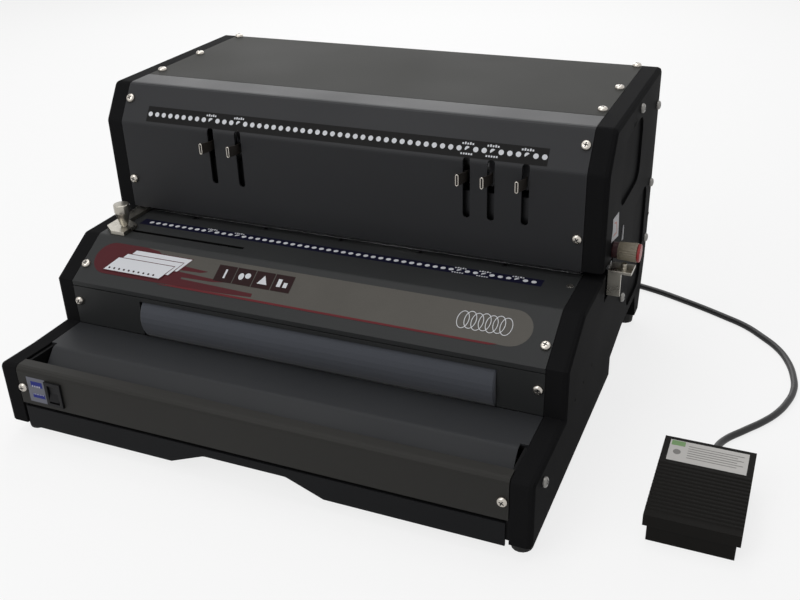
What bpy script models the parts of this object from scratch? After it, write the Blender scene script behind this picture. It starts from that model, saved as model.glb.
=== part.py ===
"""Electric coil binding machine with a foot pedal on its lead.

The machine punches a row of holes along the edge of a stack of paper in the throat between its
table and its front cover, and a powered foam roller then spins a plastic coil through the holes.
Lengths are in metres, +X is to the operator's right, +Y to the back and +Z up. The points of the
machine are measured from the middle of its front face at table level.
"""

import math

import bmesh
import bpy
from mathutils import Matrix, Vector

# Body seen from the side: the corners of the stepped outline that the covers follow
BODY_DEPTH = 0.356
BODY_TOP = 0.2284
PANEL_BOTTOM = 0.012
SHELF_HEIGHT = 0.061
FASCIA_LIFT = 0.0016
FASCIA_TOP = SHELF_HEIGHT + FASCIA_LIFT
FOLD_Y = 0.036
FOLD_RADIUS = 0.005
MIDDLE_FACE_Y = 0.0756
SLOPE_FOOT_HEIGHT = 0.0983
DECK_FRONT_Y = 0.1164
DECK_HEIGHT = 0.1219
COVER_FACE_Y = 0.1657
COVER_BEND_DROP = 0.0275
COVER_BEND_HEIGHT = BODY_TOP - COVER_BEND_DROP
COVER_LEAN = 0.0188
COVER_TOP_Y = COVER_FACE_Y + COVER_LEAN
TOP_SEAM_SETBACK = 0.0263
TOP_SEAM_Y = COVER_TOP_Y + TOP_SEAM_SETBACK
THROAT_GAP = 0.0053
THROAT_DEPTH = 0.0345
REAR_CHAMFER_HEIGHT = 0.058
REAR_CHAMFER_DEPTH = 0.011
ARCH_REAR_MARGIN = 0.038
ARCH_LENGTH = 0.097
ARCH_STEP = 0.016
ARCH_RISE = 0.024
ARCH_RAMP = 0.041
ARCH_HEEL = 0.008
BEND_RADIUS = 0.006
EDGE_RADIUS = 0.004

# Widths, walls and clearances
COVER_HALF_WIDTH = 0.1923
PANEL_THICKNESS = 0.0152
PANEL_ROUND = 0.0035
GAUGE = 0.0015
FRAME_GAUGE = 0.0025
FRAME_RIM = 0.016
RIM_GAUGE = 0.002
SEAM = 0.0003
SHADOW_GAP = 0.0008
RUNNING_FIT = 0.0003
OVERRUN = 0.004
ROUND_SIDES = 24
HIDDEN_SIDES = 16
SMALL_SIDES = 12
SHARP_ANGLE = math.radians(35)

# Row of punched holes at a 4:1 coil pitch: as many as the width holds, which is 53
HOLE_PITCH = 0.0062866
HOLE_END_MARGIN = 0.0255
HOLE_COUNT = 2 * math.floor((COVER_HALF_WIDTH - HOLE_END_MARGIN) / HOLE_PITCH) + 1
ROW_CENTRE_X = -0.0009
PIN_RADIUS = 0.0021
PIN_SIDES = 6
PIN_SETBACK = 0.0123
PUNCH_STROKE = 0.009

# Pedal lead
CORD_DIAMETER = 0.0054
COIL_PITCH = 0.006
COIL_TURNS = 3
COIL_MID_DIAMETERS = 5.5

ARCH_REAR_Y = BODY_DEPTH - ARCH_REAR_MARGIN
ARCH_FRONT_Y = ARCH_REAR_Y - ARCH_LENGTH
PANEL_INNER_X = COVER_HALF_WIDTH + SEAM
PANEL_OUTER_X = PANEL_INNER_X + PANEL_THICKNESS
THROAT_TOP = DECK_HEIGHT + THROAT_GAP
THROAT_END_Y = COVER_FACE_Y + THROAT_DEPTH
SHEET_STEP = GAUGE + SEAM
PIN_ROW_Y = COVER_FACE_Y + PIN_SETBACK
FRAME_INNER_X = COVER_HALF_WIDTH - FRAME_GAUGE

# Looks: base colour, roughness and metallic value
BLACK_SATIN = ((0.018, 0.018, 0.019), 0.42, 0.0)
CHARCOAL = ((0.055, 0.055, 0.053), 0.55, 0.0)
COVER_GREY = ((0.040, 0.041, 0.043), 0.50, 0.0)
FASCIA_GREY = ((0.050, 0.048, 0.045), 0.55, 0.0)
BLACK_PLASTIC = ((0.012, 0.012, 0.012), 0.40, 0.0)
NICKEL = ((0.62, 0.60, 0.56), 0.28, 1.0)
STEEL = ((0.42, 0.42, 0.43), 0.35, 1.0)
ZINC_PLATE = ((0.50, 0.50, 0.48), 0.45, 1.0)
FOAM = ((0.10, 0.115, 0.135), 0.85, 0.0)
RUBBER = ((0.015, 0.015, 0.015), 0.75, 0.0)
BEIGE = ((0.52, 0.47, 0.38), 0.50, 0.0)
DIAL_RED = ((0.55, 0.09, 0.08), 0.45, 0.0)
BRONZE = ((0.45, 0.30, 0.14), 0.40, 1.0)
MOTOR_GREY = ((0.16, 0.16, 0.17), 0.45, 0.6)
BOARD_GREEN = ((0.03, 0.16, 0.06), 0.50, 0.0)
CORD_BLACK = ((0.014, 0.014, 0.015), 0.55, 0.0)

for old_object in list(bpy.data.objects):
    bpy.data.objects.remove(old_object, do_unlink=True)


# Geometry helpers
def place(axis, first, second, along):
    """Point from its two coordinates across an axis, in XYZ order, and the one along it."""
    if axis == "X":
        return Vector((along, first, second))
    if axis == "Y":
        return Vector((first, along, second))
    return Vector((first, second, along))


def loft(rings, closed=False):
    """Solid through rings with equal numbers of points, capped unless the rings close up."""
    shape = bmesh.new()
    loops = [[shape.verts.new(corner) for corner in ring] for ring in rings]
    count = len(loops[0])
    pairs = list(zip(loops, loops[1:]))
    if closed:
        pairs.append((loops[-1], loops[0]))
    for here, there in pairs:
        for index in range(count):
            after = (index + 1) % count
            shape.faces.new((here[index], here[after], there[after], there[index]))
    if not closed:
        shape.faces.new(loops[0])
        shape.faces.new(loops[-1])
    bmesh.ops.recalc_face_normals(shape, faces=shape.faces)
    if shape.calc_volume(signed=True) < 0:
        bmesh.ops.reverse_faces(shape, faces=shape.faces)
    return shape


def prism(outline, axis, low, high):
    """Outline drawn across an axis and extruded along it from low to high."""
    return loft([[place(axis, first, second, along) for first, second in outline]
                 for along in (low, high)])


def frame_prism(outer, inner, axis, low, high):
    """Closed band between two outlines with equal numbers of points."""
    rings = []
    for outline, along in ((outer, low), (outer, high), (inner, high), (inner, low)):
        rings.append([place(axis, first, second, along) for first, second in outline])
    return loft(rings, closed=True)


def block(x, y, z):
    """Box from its three (low, high) pairs."""
    outline = [(y[0], z[0]), (y[1], z[0]), (y[1], z[1]), (y[0], z[1])]
    return prism(outline, "X", x[0], x[1])


def circle(first, second, radius, sides=ROUND_SIDES, turn=0.0):
    """Outline of a circle, its first corner turned by an angle."""
    step = 2 * math.pi / sides
    return [(first + radius * math.cos(turn + step * index),
             second + radius * math.sin(turn + step * index)) for index in range(sides)]


def turned(profile, axis, centre, sides=ROUND_SIDES, closed=False):
    """Solid of revolution from (along, radius) pairs; a closed profile leaves a bore."""
    rings = []
    for along, radius in profile:
        ring = circle(centre[0], centre[1], radius, sides)
        rings.append([place(axis, first, second, along) for first, second in ring])
    return loft(rings, closed)


def rod(axis, centre, radius, low, high, sides=ROUND_SIDES):
    """Plain cylinder between two places along an axis."""
    return turned([(low, radius), (high, radius)], axis, centre, sides)


def merged(*shapes):
    """One mesh that holds separate bodies."""
    whole = bmesh.new()
    for shape in shapes:
        carrier = bpy.data.meshes.new("carrier")
        shape.to_mesh(carrier)
        whole.from_mesh(carrier)
        shape.free()
        bpy.data.meshes.remove(carrier)
    return whole


def offset(points, distance, closed=True):
    """Points moved to the left of their direction of travel, mitred at the corners."""
    moved = []
    count = len(points)
    for index, here in enumerate(points):
        before = points[index - 1]
        after = points[(index + 1) % count]
        if not closed and index == 0:
            before = (2 * here[0] - after[0], 2 * here[1] - after[1])
        if not closed and index == count - 1:
            after = (2 * here[0] - before[0], 2 * here[1] - before[1])
        incoming = (Vector(here) - Vector(before)).normalized()
        outgoing = (Vector(after) - Vector(here)).normalized()
        normal_in = Vector((-incoming.y, incoming.x))
        normal_out = Vector((-outgoing.y, outgoing.x))
        middle = (normal_in + normal_out).normalized()
        reach = distance / max(middle.dot(normal_in), 0.2)
        moved.append((here[0] + middle.x * reach, here[1] + middle.y * reach))
    return moved


def rounded(corners, radii, steps=3, closed=True):
    """Corners replaced by arcs wherever their radius isn't zero."""
    points = []
    count = len(corners)
    for index, (corner, radius) in enumerate(zip(corners, radii)):
        at_end = not closed and index in (0, count - 1)
        if radius == 0 or at_end:
            points.append(corner)
            continue
        here = Vector(corner)
        back = (Vector(corners[index - 1]) - here).normalized()
        ahead = (Vector(corners[(index + 1) % count]) - here).normalized()
        half = back.angle(ahead) / 2
        centre = here + (back + ahead).normalized() * (radius / math.sin(half))
        start = here + back * (radius / math.tan(half)) - centre
        sweep = math.pi - 2 * half
        sense = 1.0 if back.y * ahead.x - back.x * ahead.y > 0 else -1.0
        for step in range(steps + 1):
            angle = sense * sweep * step / steps
            spun = Matrix.Rotation(angle, 2) @ start
            points.append((centre.x + spun.x, centre.y + spun.y))
    return points


def sheet(path, gauge=GAUGE):
    """Outline of bent sheet metal whose outer side follows a path, interior to the left."""
    return list(path) + offset(path, gauge, closed=False)[::-1]


# Object helpers
machine = bpy.data.objects.new("machine_frame", None)
bpy.context.collection.objects.link(machine)
cutter_count = 0


def add(name, shape, look, pivot=(0, 0, 0), smooth=False, parent=machine):
    """Named object with its own material and its origin at pivot, in machine coordinates."""
    bmesh.ops.translate(shape, verts=shape.verts, vec=-Vector(pivot))
    mesh = bpy.data.meshes.new(name)
    shape.to_mesh(mesh)
    shape.free()
    if smooth:
        mesh.shade_smooth()
        mesh.set_sharp_from_angle(angle=SHARP_ANGLE)
    thing = bpy.data.objects.new(name, mesh)
    thing.parent = parent
    thing.location = pivot
    bpy.context.collection.objects.link(thing)
    colour, roughness, metallic = look
    finish = bpy.data.materials.new(name)
    finish.use_nodes = True
    surface = finish.node_tree.nodes["Principled BSDF"]
    surface.inputs["Base Color"].default_value = (*colour, 1.0)
    surface.inputs["Roughness"].default_value = roughness
    surface.inputs["Metallic"].default_value = metallic
    mesh.materials.append(finish)
    return thing


def combine(target, shape, operation="DIFFERENCE"):
    """Boolean with a hidden tool shape given in machine coordinates."""
    global cutter_count
    cutter_count += 1
    mesh = bpy.data.meshes.new("tool_%02d" % cutter_count)
    shape.to_mesh(mesh)
    shape.free()
    tool = bpy.data.objects.new(mesh.name, mesh)
    tool.parent = machine
    tool.hide_render = True
    tool.display_type = "WIRE"
    bpy.context.collection.objects.link(tool)
    modifier = target.modifiers.new(tool.name, "BOOLEAN")
    modifier.operation = operation
    modifier.object = tool


def side_corners():
    """Corners of the side outline, front bottom first, with their bend radii."""
    arch_top = PANEL_BOTTOM + ARCH_RISE
    return [
        ((0, PANEL_BOTTOM), 0),
        ((ARCH_FRONT_Y, PANEL_BOTTOM), 0),
        ((ARCH_FRONT_Y, PANEL_BOTTOM + ARCH_STEP), 0),
        ((ARCH_FRONT_Y + ARCH_RAMP, arch_top), 0),
        ((ARCH_REAR_Y, arch_top), 0),
        ((ARCH_REAR_Y + ARCH_HEEL, PANEL_BOTTOM), 0),
        ((BODY_DEPTH - REAR_CHAMFER_DEPTH, PANEL_BOTTOM), 0),
        ((BODY_DEPTH, REAR_CHAMFER_HEIGHT), 0),
        ((BODY_DEPTH, BODY_TOP), EDGE_RADIUS),
        ((COVER_TOP_Y, BODY_TOP), BEND_RADIUS),
        ((COVER_FACE_Y, COVER_BEND_HEIGHT), BEND_RADIUS),
        ((COVER_FACE_Y, DECK_HEIGHT), 0),
        ((DECK_FRONT_Y, DECK_HEIGHT), BEND_RADIUS),
        ((MIDDLE_FACE_Y, SLOPE_FOOT_HEIGHT), 0),
        ((MIDDLE_FACE_Y, SHELF_HEIGHT), 0),
        ((FOLD_Y, SHELF_HEIGHT), 0),
        ((0, FASCIA_TOP), EDGE_RADIUS),
    ]


def side_outline(inset):
    """Side outline moved inwards, its bends kept concentric."""
    corners, radii = zip(*side_corners())
    return rounded(offset(corners, inset),
                   [radius - inset if radius > inset + SEAM else 0 for radius in radii])



# Pan head screws: place on the surface, direction the head faces, length below the surface
SCREW_HEAD_RADIUS = 0.0034
SCREW_HEAD_HEIGHT = 0.0022
SCREW_SHANK_RADIUS = 0.0017
SCREW_HOLE_RADIUS = 0.0024
SCREW_SIDES = 8
HOLE_SIDES = 6
SCREW_EDGE = 0.0043
COVER_SCREW_LENGTH = 0.0058
PANEL_SCREW_LENGTH = PANEL_THICKNESS + SEAM + FRAME_GAUGE
SCREW_X = COVER_HALF_WIDTH - SCREW_EDGE
SLOPE_TILT = math.atan2(DECK_HEIGHT - SLOPE_FOOT_HEIGHT, DECK_FRONT_Y - MIDDLE_FACE_Y)
COVER_TILT = math.atan2(BODY_TOP - COVER_BEND_HEIGHT, COVER_TOP_Y - COVER_FACE_Y)
TOP_SCREW_SHARES = (0.09, 0.49, 0.955)
PANEL_SCREW_SHARES = ((0.972, 0.87), (0.972, 0.575), (0.965, 0.355), (0.70, 0.30),
                      (0.065, 0.215))
PANEL_TOP_SCREW_SHARES = (0.412, 0.955)
SLOPE_SCREW_SHARE = 0.36
COVER_SCREW_SHARE = 0.60
LOWER_SCREW_SHARE = 0.34
MIDDLE_SCREW_SHARE = 0.55
FASCIA_SCREW_SHARE = 0.46
FASCIA_BOTTOM = 0.031

UP = Vector((0, 0, 1))
FRONT = Vector((0, -1, 0))
SLOPE_NORMAL = Vector((0, -math.sin(SLOPE_TILT), math.cos(SLOPE_TILT)))
COVER_NORMAL = Vector((0, -math.sin(COVER_TILT), math.cos(COVER_TILT)))


def between(low, high, share):
    """Value a share of the way from low to high."""
    return low + (high - low) * share


def screw_places(side):
    """Screws of one side (-1 left, 1 right) by the sheet that they hold."""
    x = side * SCREW_X
    tops = [Vector((x, between(TOP_SEAM_Y, BODY_DEPTH, share), BODY_TOP))
            for share in TOP_SCREW_SHARES]
    sides = [Vector((side * PANEL_OUTER_X, BODY_DEPTH * deep, BODY_TOP * high))
             for deep, high in PANEL_SCREW_SHARES]
    deep, high = PANEL_TOP_SCREW_SHARES
    sides.append(Vector((side * PANEL_OUTER_X, between(TOP_SEAM_Y, BODY_DEPTH, deep),
                         BODY_TOP * high)))
    return {
        "top_cover": [(spot, UP) for spot in tops],
        "front_cover": [
            (Vector((x, between(COVER_FACE_Y, COVER_TOP_Y, COVER_SCREW_SHARE),
                     between(COVER_BEND_HEIGHT, BODY_TOP, COVER_SCREW_SHARE))), COVER_NORMAL),
            (Vector((x, COVER_FACE_Y,
                     between(THROAT_TOP, COVER_BEND_HEIGHT, LOWER_SCREW_SHARE))), FRONT)],
        "deck_panel": [
            (Vector((x, between(MIDDLE_FACE_Y, DECK_FRONT_Y, SLOPE_SCREW_SHARE),
                     between(SLOPE_FOOT_HEIGHT, DECK_HEIGHT, SLOPE_SCREW_SHARE))), SLOPE_NORMAL)],
        "middle_panel": [
            (Vector((x, MIDDLE_FACE_Y,
                     between(SHELF_HEIGHT, SLOPE_FOOT_HEIGHT, MIDDLE_SCREW_SHARE))), FRONT)],
        "front_fascia": [
            (Vector((x, 0, between(FASCIA_BOTTOM, FASCIA_TOP, FASCIA_SCREW_SHARE))), FRONT)],
        "side_panel": [(spot, Vector((side, 0, 0))) for spot in sides],
    }


def along(direction, spot, profile, sides):
    """Turned profile stood on a spot with its axis in a direction."""
    shape = turned(profile, "Z", (0, 0), sides)
    turn = UP.rotation_difference(direction).to_matrix().to_4x4()
    shape.transform(Matrix.Translation(spot) @ turn)
    return shape


def screw(spot, direction, length):
    """Pan head screw with its head let a little way into the sheet."""
    head = SCREW_HEAD_HEIGHT
    return along(direction, spot, [
        (-length, SCREW_SHANK_RADIUS),
        (-SEAM, SCREW_SHANK_RADIUS),
        (-SEAM, SCREW_HEAD_RADIUS),
        (head, SCREW_HEAD_RADIUS / 2)], SCREW_SIDES)


def screw_hole(spot, direction, length):
    """Clearance hole for a screw."""
    return along(direction, spot, [(-length - OVERRUN, SCREW_HOLE_RADIUS),
                                   (OVERRUN, SCREW_HOLE_RADIUS)], HOLE_SIDES)


SCREWS = {side: screw_places(side) for side in (-1, 1)}


def screw_length(owner):
    """Length below the head: long through a side panel, short through a sheet."""
    return PANEL_SCREW_LENGTH if owner == "side_panel" else COVER_SCREW_LENGTH


def holes_for(owner, side):
    """Holes in the frame for the screws of one sheet."""
    return [screw_hole(spot, direction, screw_length(owner))
            for spot, direction in SCREWS[side][owner]]


def fasten(target, owner, sides=(-1, 1)):
    """Screws of one sheet, fused with it."""
    combine(target, merged(*[screw(spot, direction, screw_length(owner))
                             for side in sides for spot, direction in SCREWS[side][owner]]),
            "UNION")


# Depth dial on the right side, read by its panel, its frame plate and its own pieces
DIAL_SETBACK = 0.0303
DIAL_Y = COVER_FACE_Y + DIAL_SETBACK
DIAL_RISE = 0.0121
DIAL_Z = DECK_HEIGHT + DIAL_RISE
DIAL_SHAFT_RADIUS = 0.003
DIAL_HOLE_RADIUS = 0.0036

# Side panels: rounded cheeks with the open throat, shallow recesses and screw holes
PANEL_RECESS_DEPTH = 0.002
RECESS_ROUND = 0.012
UPPER_RECESS_SHARES = ((0.60, 0.69), (0.80, 0.92))
LOWER_RECESS_SHARES = ((0.77, 0.19), (0.93, 0.60))
TAB_SLOT_LENGTH = 0.012
TAB_SLOT_DROP = 0.023
TAB_SLOT_SETBACK = 0.0123
TAB_SLOT_FRONT_Y = COVER_FACE_Y + TAB_SLOT_SETBACK


def recess(side, shares):
    """Rounded pocket cutter in the outer face of a side panel."""
    (near, low), (far, high) = shares
    corners = [(BODY_DEPTH * near, BODY_TOP * low), (BODY_DEPTH * far, BODY_TOP * low),
               (BODY_DEPTH * far, BODY_TOP * high), (BODY_DEPTH * near, BODY_TOP * high)]
    outline = rounded(corners, [RECESS_ROUND] * 4)
    ends = sorted((side * (PANEL_OUTER_X - PANEL_RECESS_DEPTH), side * (PANEL_OUTER_X + OVERRUN)))
    return prism(outline, "X", *ends)


def side_panel(name, side):
    """One moulded cheek, its outer edge rounded except along the bottom."""
    ends = sorted((side * PANEL_INNER_X, side * PANEL_OUTER_X))
    shape = prism(side_outline(0), "X", *ends)
    soft_edges = []
    for edge in shape.edges:
        a, b = (corner.co for corner in edge.verts)
        outside = abs(a.x - side * PANEL_OUTER_X) < SEAM and abs(b.x - a.x) < SEAM
        at_bottom = max(a.z, b.z) < REAR_CHAMFER_HEIGHT - SEAM and min(a.y, b.y) >= 0
        upright_front = abs(a.y) < SEAM and abs(b.y) < SEAM
        if outside and (not at_bottom or upright_front):
            soft_edges.append(edge)
    bmesh.ops.bevel(shape, geom=soft_edges, offset=PANEL_ROUND, segments=2, profile=0.5,
                    affect="EDGES")
    panel = add(name, shape, BLACK_SATIN)
    wide = tuple(sorted((side * (PANEL_INNER_X - OVERRUN), side * (PANEL_OUTER_X + OVERRUN))))
    slot = block(wide, (COVER_FACE_Y - PANEL_THICKNESS, THROAT_END_Y),
                 (DECK_HEIGHT - SEAM, THROAT_TOP + SEAM))
    combine(panel, slot)
    combine(panel, merged(recess(side, UPPER_RECESS_SHARES), recess(side, LOWER_RECESS_SHARES)))
    if side > 0:
        combine(panel, rod("X", (DIAL_Y, DIAL_Z), DIAL_HOLE_RADIUS, *wide, SCREW_SIDES))
        tab_slot = block(wide, (TAB_SLOT_FRONT_Y, TAB_SLOT_FRONT_Y + TAB_SLOT_LENGTH),
                         (DECK_HEIGHT - TAB_SLOT_DROP, DECK_HEIGHT + SEAM))
        combine(panel, tab_slot)
    fasten(panel, "side_panel", (side,))


side_panel("left_side_panel", -1)
side_panel("right_side_panel", 1)

# Drive shaft and stop bar places that the frame plates are cut for
PIN_GUIDE_SHARE = 0.2449
PIN_RETRACT = 0.001
BAR_CLEARANCE_SHARE = 0.1531
BAR_HEIGHT_SHARE = 0.4082
BAR_FRONT_SETBACK = 0.0061
BAR_DEPTH = 0.0162
YOKE_SETBACK = 0.0027
YOKE_WALL = 0.0065
YOKE_SIDE_WALL = 0.003
YOKE_PLAY = 0.0012
YOKE_SIDE_PLAY = 0.0005
SHAFT_RADIUS = 0.0055
ECCENTRIC_WEB = 0.0005
ECCENTRICITY = PUNCH_STROKE / 2
ECCENTRIC_RADIUS = SHAFT_RADIUS + ECCENTRICITY + ECCENTRIC_WEB
SHAFT_COVER_GAP = 0.0277
PUNCH_ROOM = (BODY_TOP - SHEET_STEP - SHAFT_COVER_GAP - THROAT_TOP - PUNCH_STROKE - YOKE_WALL
              - YOKE_PLAY - ECCENTRIC_RADIUS + ECCENTRICITY)
GUIDE_BOTTOM = THROAT_TOP + SEAM
GUIDE_TOP = GUIDE_BOTTOM + PUNCH_ROOM * PIN_GUIDE_SHARE
BAR_BOTTOM = GUIDE_TOP + PUNCH_STROKE + PUNCH_ROOM * BAR_CLEARANCE_SHARE
BAR_TOP = BAR_BOTTOM + PUNCH_ROOM * BAR_HEIGHT_SHARE
BAR_FRONT_Y = COVER_FACE_Y + BAR_FRONT_SETBACK
YOKE_SLOT_HALF_HEIGHT = ECCENTRIC_RADIUS + YOKE_PLAY
YOKE_SLOT_HALF_DEPTH = ECCENTRIC_RADIUS + ECCENTRICITY + YOKE_SIDE_PLAY
YOKE_HALF_DEPTH = YOKE_SLOT_HALF_DEPTH + YOKE_SIDE_WALL
YOKE_BOTTOM = BAR_TOP + SEAM
SHAFT_Y = BAR_FRONT_Y + YOKE_SETBACK + YOKE_HALF_DEPTH
YOKE_CENTRE_Z = YOKE_BOTTOM + YOKE_WALL + YOKE_SLOT_HALF_HEIGHT
SHAFT_Z = YOKE_CENTRE_Z - ECCENTRICITY
BUSH_RADIUS = 0.009
BUSH_LENGTH = 0.012
BUSH_FLANGE_RADIUS = 0.0125
BUSH_FLANGE = 0.002
GUIDE_KNOB_MARGIN = 0.0151
GUIDE_KNOB_X = GUIDE_KNOB_MARGIN - COVER_HALF_WIDTH
GUIDE_SLOT_Y = 0.130
GUIDE_NUT_HALF = 0.0045
GUIDE_NOTCH_MARGIN = 0.002

# Steel side frames: pressed plates with a rim that the covers are screwed to
FASCIA_FLANGE_DEPTH = 0.0115
FASCIA_LIP = 0.004
FASCIA_RETURN = 0.012
TROUGH_CLEARANCE = 0.0145


def frame_plate(name, side):
    """One pressed side plate: a flat wall with an inward rim, opened for throat and trough."""
    outline = side_outline(SHEET_STEP)
    inner = side_outline(SHEET_STEP + RIM_GAUGE)
    ends = sorted((side * (COVER_HALF_WIDTH - FRAME_RIM), side * COVER_HALF_WIDTH))
    plate = add(name, prism(outline, "X", *ends), ZINC_PLATE)
    pocket = sorted((side * FRAME_INNER_X, side * (COVER_HALF_WIDTH - FRAME_RIM - OVERRUN)))
    combine(plate, prism(inner, "X", *pocket))
    wide = tuple(sorted((side * (COVER_HALF_WIDTH + OVERRUN),
                         side * (COVER_HALF_WIDTH - FRAME_RIM - OVERRUN))))
    throat = block(wide, (COVER_FACE_Y - OVERRUN, THROAT_END_Y),
                   (DECK_HEIGHT - SHEET_STEP, THROAT_TOP + SHEET_STEP))
    combine(plate, throat)
    within = tuple(pocket)
    drawer_way = block(within, (-OVERRUN, SHEET_STEP + RIM_GAUGE + OVERRUN),
                       (PANEL_BOTTOM + SHEET_STEP + RIM_GAUGE, FASCIA_BOTTOM + SHEET_STEP))
    combine(plate, drawer_way)
    trough_way = block(within, (FASCIA_FLANGE_DEPTH - OVERRUN, FOLD_Y + FOLD_RADIUS),
                       (SHELF_HEIGHT - TROUGH_CLEARANCE - OVERRUN, FASCIA_TOP))
    combine(plate, trough_way)
    holes = []
    for owner in SCREWS[side]:
        holes.extend(holes_for(owner, side))
    if side > 0:
        holes.append(rod("X", (DIAL_Y, DIAL_Z), DIAL_HOLE_RADIUS, *wide, SCREW_SIDES))
    else:
        holes.append(rod("X", (SHAFT_Y, SHAFT_Z), BUSH_RADIUS + RUNNING_FIT, *wide, HIDDEN_SIDES))
        reach = GUIDE_NUT_HALF + GUIDE_NOTCH_MARGIN
        holes.append(block((GUIDE_KNOB_X - reach, -COVER_HALF_WIDTH + FRAME_RIM + OVERRUN),
                           (GUIDE_SLOT_Y - reach, GUIDE_SLOT_Y + reach),
                           (DECK_HEIGHT - SHEET_STEP - 2 * RIM_GAUGE, DECK_HEIGHT)))
    combine(plate, merged(*holes))
    if side > 0:
        tab_slot = block(wide, (TAB_SLOT_FRONT_Y, TAB_SLOT_FRONT_Y + TAB_SLOT_LENGTH),
                         (DECK_HEIGHT - TAB_SLOT_DROP, DECK_HEIGHT))
        combine(plate, tab_slot)


frame_plate("left_frame_plate", -1)
frame_plate("right_frame_plate", 1)

# Sheet metal covers, bent along the side outline
FULL_WIDTH = (-COVER_HALF_WIDTH, COVER_HALF_WIDTH)
REAR_LIP = 0.0215
COVER_HEM = 0.0058
DECK_TAIL = 0.007
SLOPE_LIP = 0.0035
FLOOR_HEIGHT = PANEL_BOTTOM + ARCH_RISE + SHEET_STEP + RIM_GAUGE + SEAM

VENT_COLUMNS = 2
VENT_ROWS = 6
VENT_LENGTH = 0.045
VENT_HEIGHT = 0.003
VENT_PITCH = 0.008
VENT_GAP = 0.012
VENT_SHARE = 0.62

LEVER_X_SHARES = (-0.5623, -0.4336, 0.5478, 0.6439, 0.7763)
LEVER_SLOT_SHARES = (0.407, 1.0312)
LEVER_SLOT_WIDTH = 0.0055
LEVER_XS = [share * COVER_HALF_WIDTH for share in LEVER_X_SHARES]
LEVER_SLOT_BOTTOM, LEVER_SLOT_TOP = [
    between(THROAT_TOP, COVER_BEND_HEIGHT, share) for share in LEVER_SLOT_SHARES]

ROLLER_RADIUS = 0.0216
ROLLER_Y_SETBACK = 0.0176
ROLLER_Y = MIDDLE_FACE_Y + ROLLER_Y_SETBACK
ROLLER_Z_RISE = 0.014
ROLLER_Z = SHELF_HEIGHT + ROLLER_Z_RISE
ROLLER_LEFT_MARGIN = 0.0633
ROLLER_RIGHT_MARGIN = 0.0337
ROLLER_LEFT = ROLLER_LEFT_MARGIN - COVER_HALF_WIDTH
ROLLER_RIGHT = COVER_HALF_WIDTH - ROLLER_RIGHT_MARGIN
ROLLER_END_GAP = 0.0008
ROLLER_WINDOW_RISE = 0.0157

TROUGH_DEPTH = 0.0125
TROUGH_LOW_Y = 0.024
TROUGH_FLANGE_GAP = 0.0018
TROUGH_FRONT_Y = FASCIA_FLANGE_DEPTH + TROUGH_FLANGE_GAP
TROUGH_SIDE_GAP = 0.0030
TROUGH_FRONT_RISE = 0.008

GUIDE_SLOT_LEAD = 0.0023
GUIDE_SLOT_REACH = 0.1118
GUIDE_SLOT_LEFT = GUIDE_KNOB_X - GUIDE_SLOT_LEAD
GUIDE_SLOT_RIGHT = GUIDE_KNOB_X + GUIDE_SLOT_REACH
GUIDE_SLOT_WIDTH = 0.0035

DECK_SCREW_COUNT = 5
DECK_SCREW_MARGIN = 0.0575
DECK_SCREW_PITCH = 2 * (COVER_HALF_WIDTH - DECK_SCREW_MARGIN) / (DECK_SCREW_COUNT - 1)
DECK_SCREW_SETBACK = 0.0033
DECK_SCREW_RADIUS = 0.0018
DECK_SCREW_HEAD_RADIUS = 0.0030
DECK_SCREW_PROUD = 0.0001
DECK_SCREW_LENGTH = 0.0060
DECK_SCREW_XS = [DECK_SCREW_PITCH * (index - (DECK_SCREW_COUNT - 1) / 2)
                 for index in range(DECK_SCREW_COUNT)]
DECK_SCREW_Y = COVER_FACE_Y + DECK_SCREW_SETBACK

top_cover = add("top_cover", prism(sheet(rounded(
    [(BODY_DEPTH, BODY_TOP - REAR_LIP), (BODY_DEPTH, BODY_TOP),
     (TOP_SEAM_Y + SHADOW_GAP / 2, BODY_TOP)],
    [0, EDGE_RADIUS, 0], closed=False)), "X", *FULL_WIDTH), CHARCOAL)
fasten(top_cover, "top_cover")

front_cover = add("front_cover", prism(sheet(rounded(
    [(TOP_SEAM_Y - SHADOW_GAP / 2, BODY_TOP), (COVER_TOP_Y, BODY_TOP),
     (COVER_FACE_Y, COVER_BEND_HEIGHT), (COVER_FACE_Y, THROAT_TOP),
     (COVER_FACE_Y + COVER_HEM, THROAT_TOP)],
    [0, BEND_RADIUS, BEND_RADIUS, 0, 0], closed=False)), "X", *FULL_WIDTH), COVER_GREY)


def lever_slot(x):
    """Cutter for one upright lever slot with round ends."""
    half = LEVER_SLOT_WIDTH / 2
    low = LEVER_SLOT_BOTTOM
    high = LEVER_SLOT_TOP
    outline = rounded([(x - half, low), (x + half, low), (x + half, high), (x - half, high)],
                      [half - SEAM] * 4)
    return prism(outline, "Y", COVER_FACE_Y - OVERRUN, COVER_FACE_Y + GAUGE + OVERRUN)


combine(front_cover, merged(*[lever_slot(x) for x in LEVER_XS]))
fasten(front_cover, "front_cover")
hem_notches = []
for side in (-1, 1):
    ends = sorted((side * (COVER_HALF_WIDTH - FRAME_RIM - SEAM), side * (COVER_HALF_WIDTH + OVERRUN)))
    hem_notches.append(block(ends, (COVER_FACE_Y + GAUGE, COVER_FACE_Y + COVER_HEM + OVERRUN),
                             (THROAT_TOP - OVERRUN, THROAT_TOP + OVERRUN)))
combine(front_cover, merged(*hem_notches))

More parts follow.
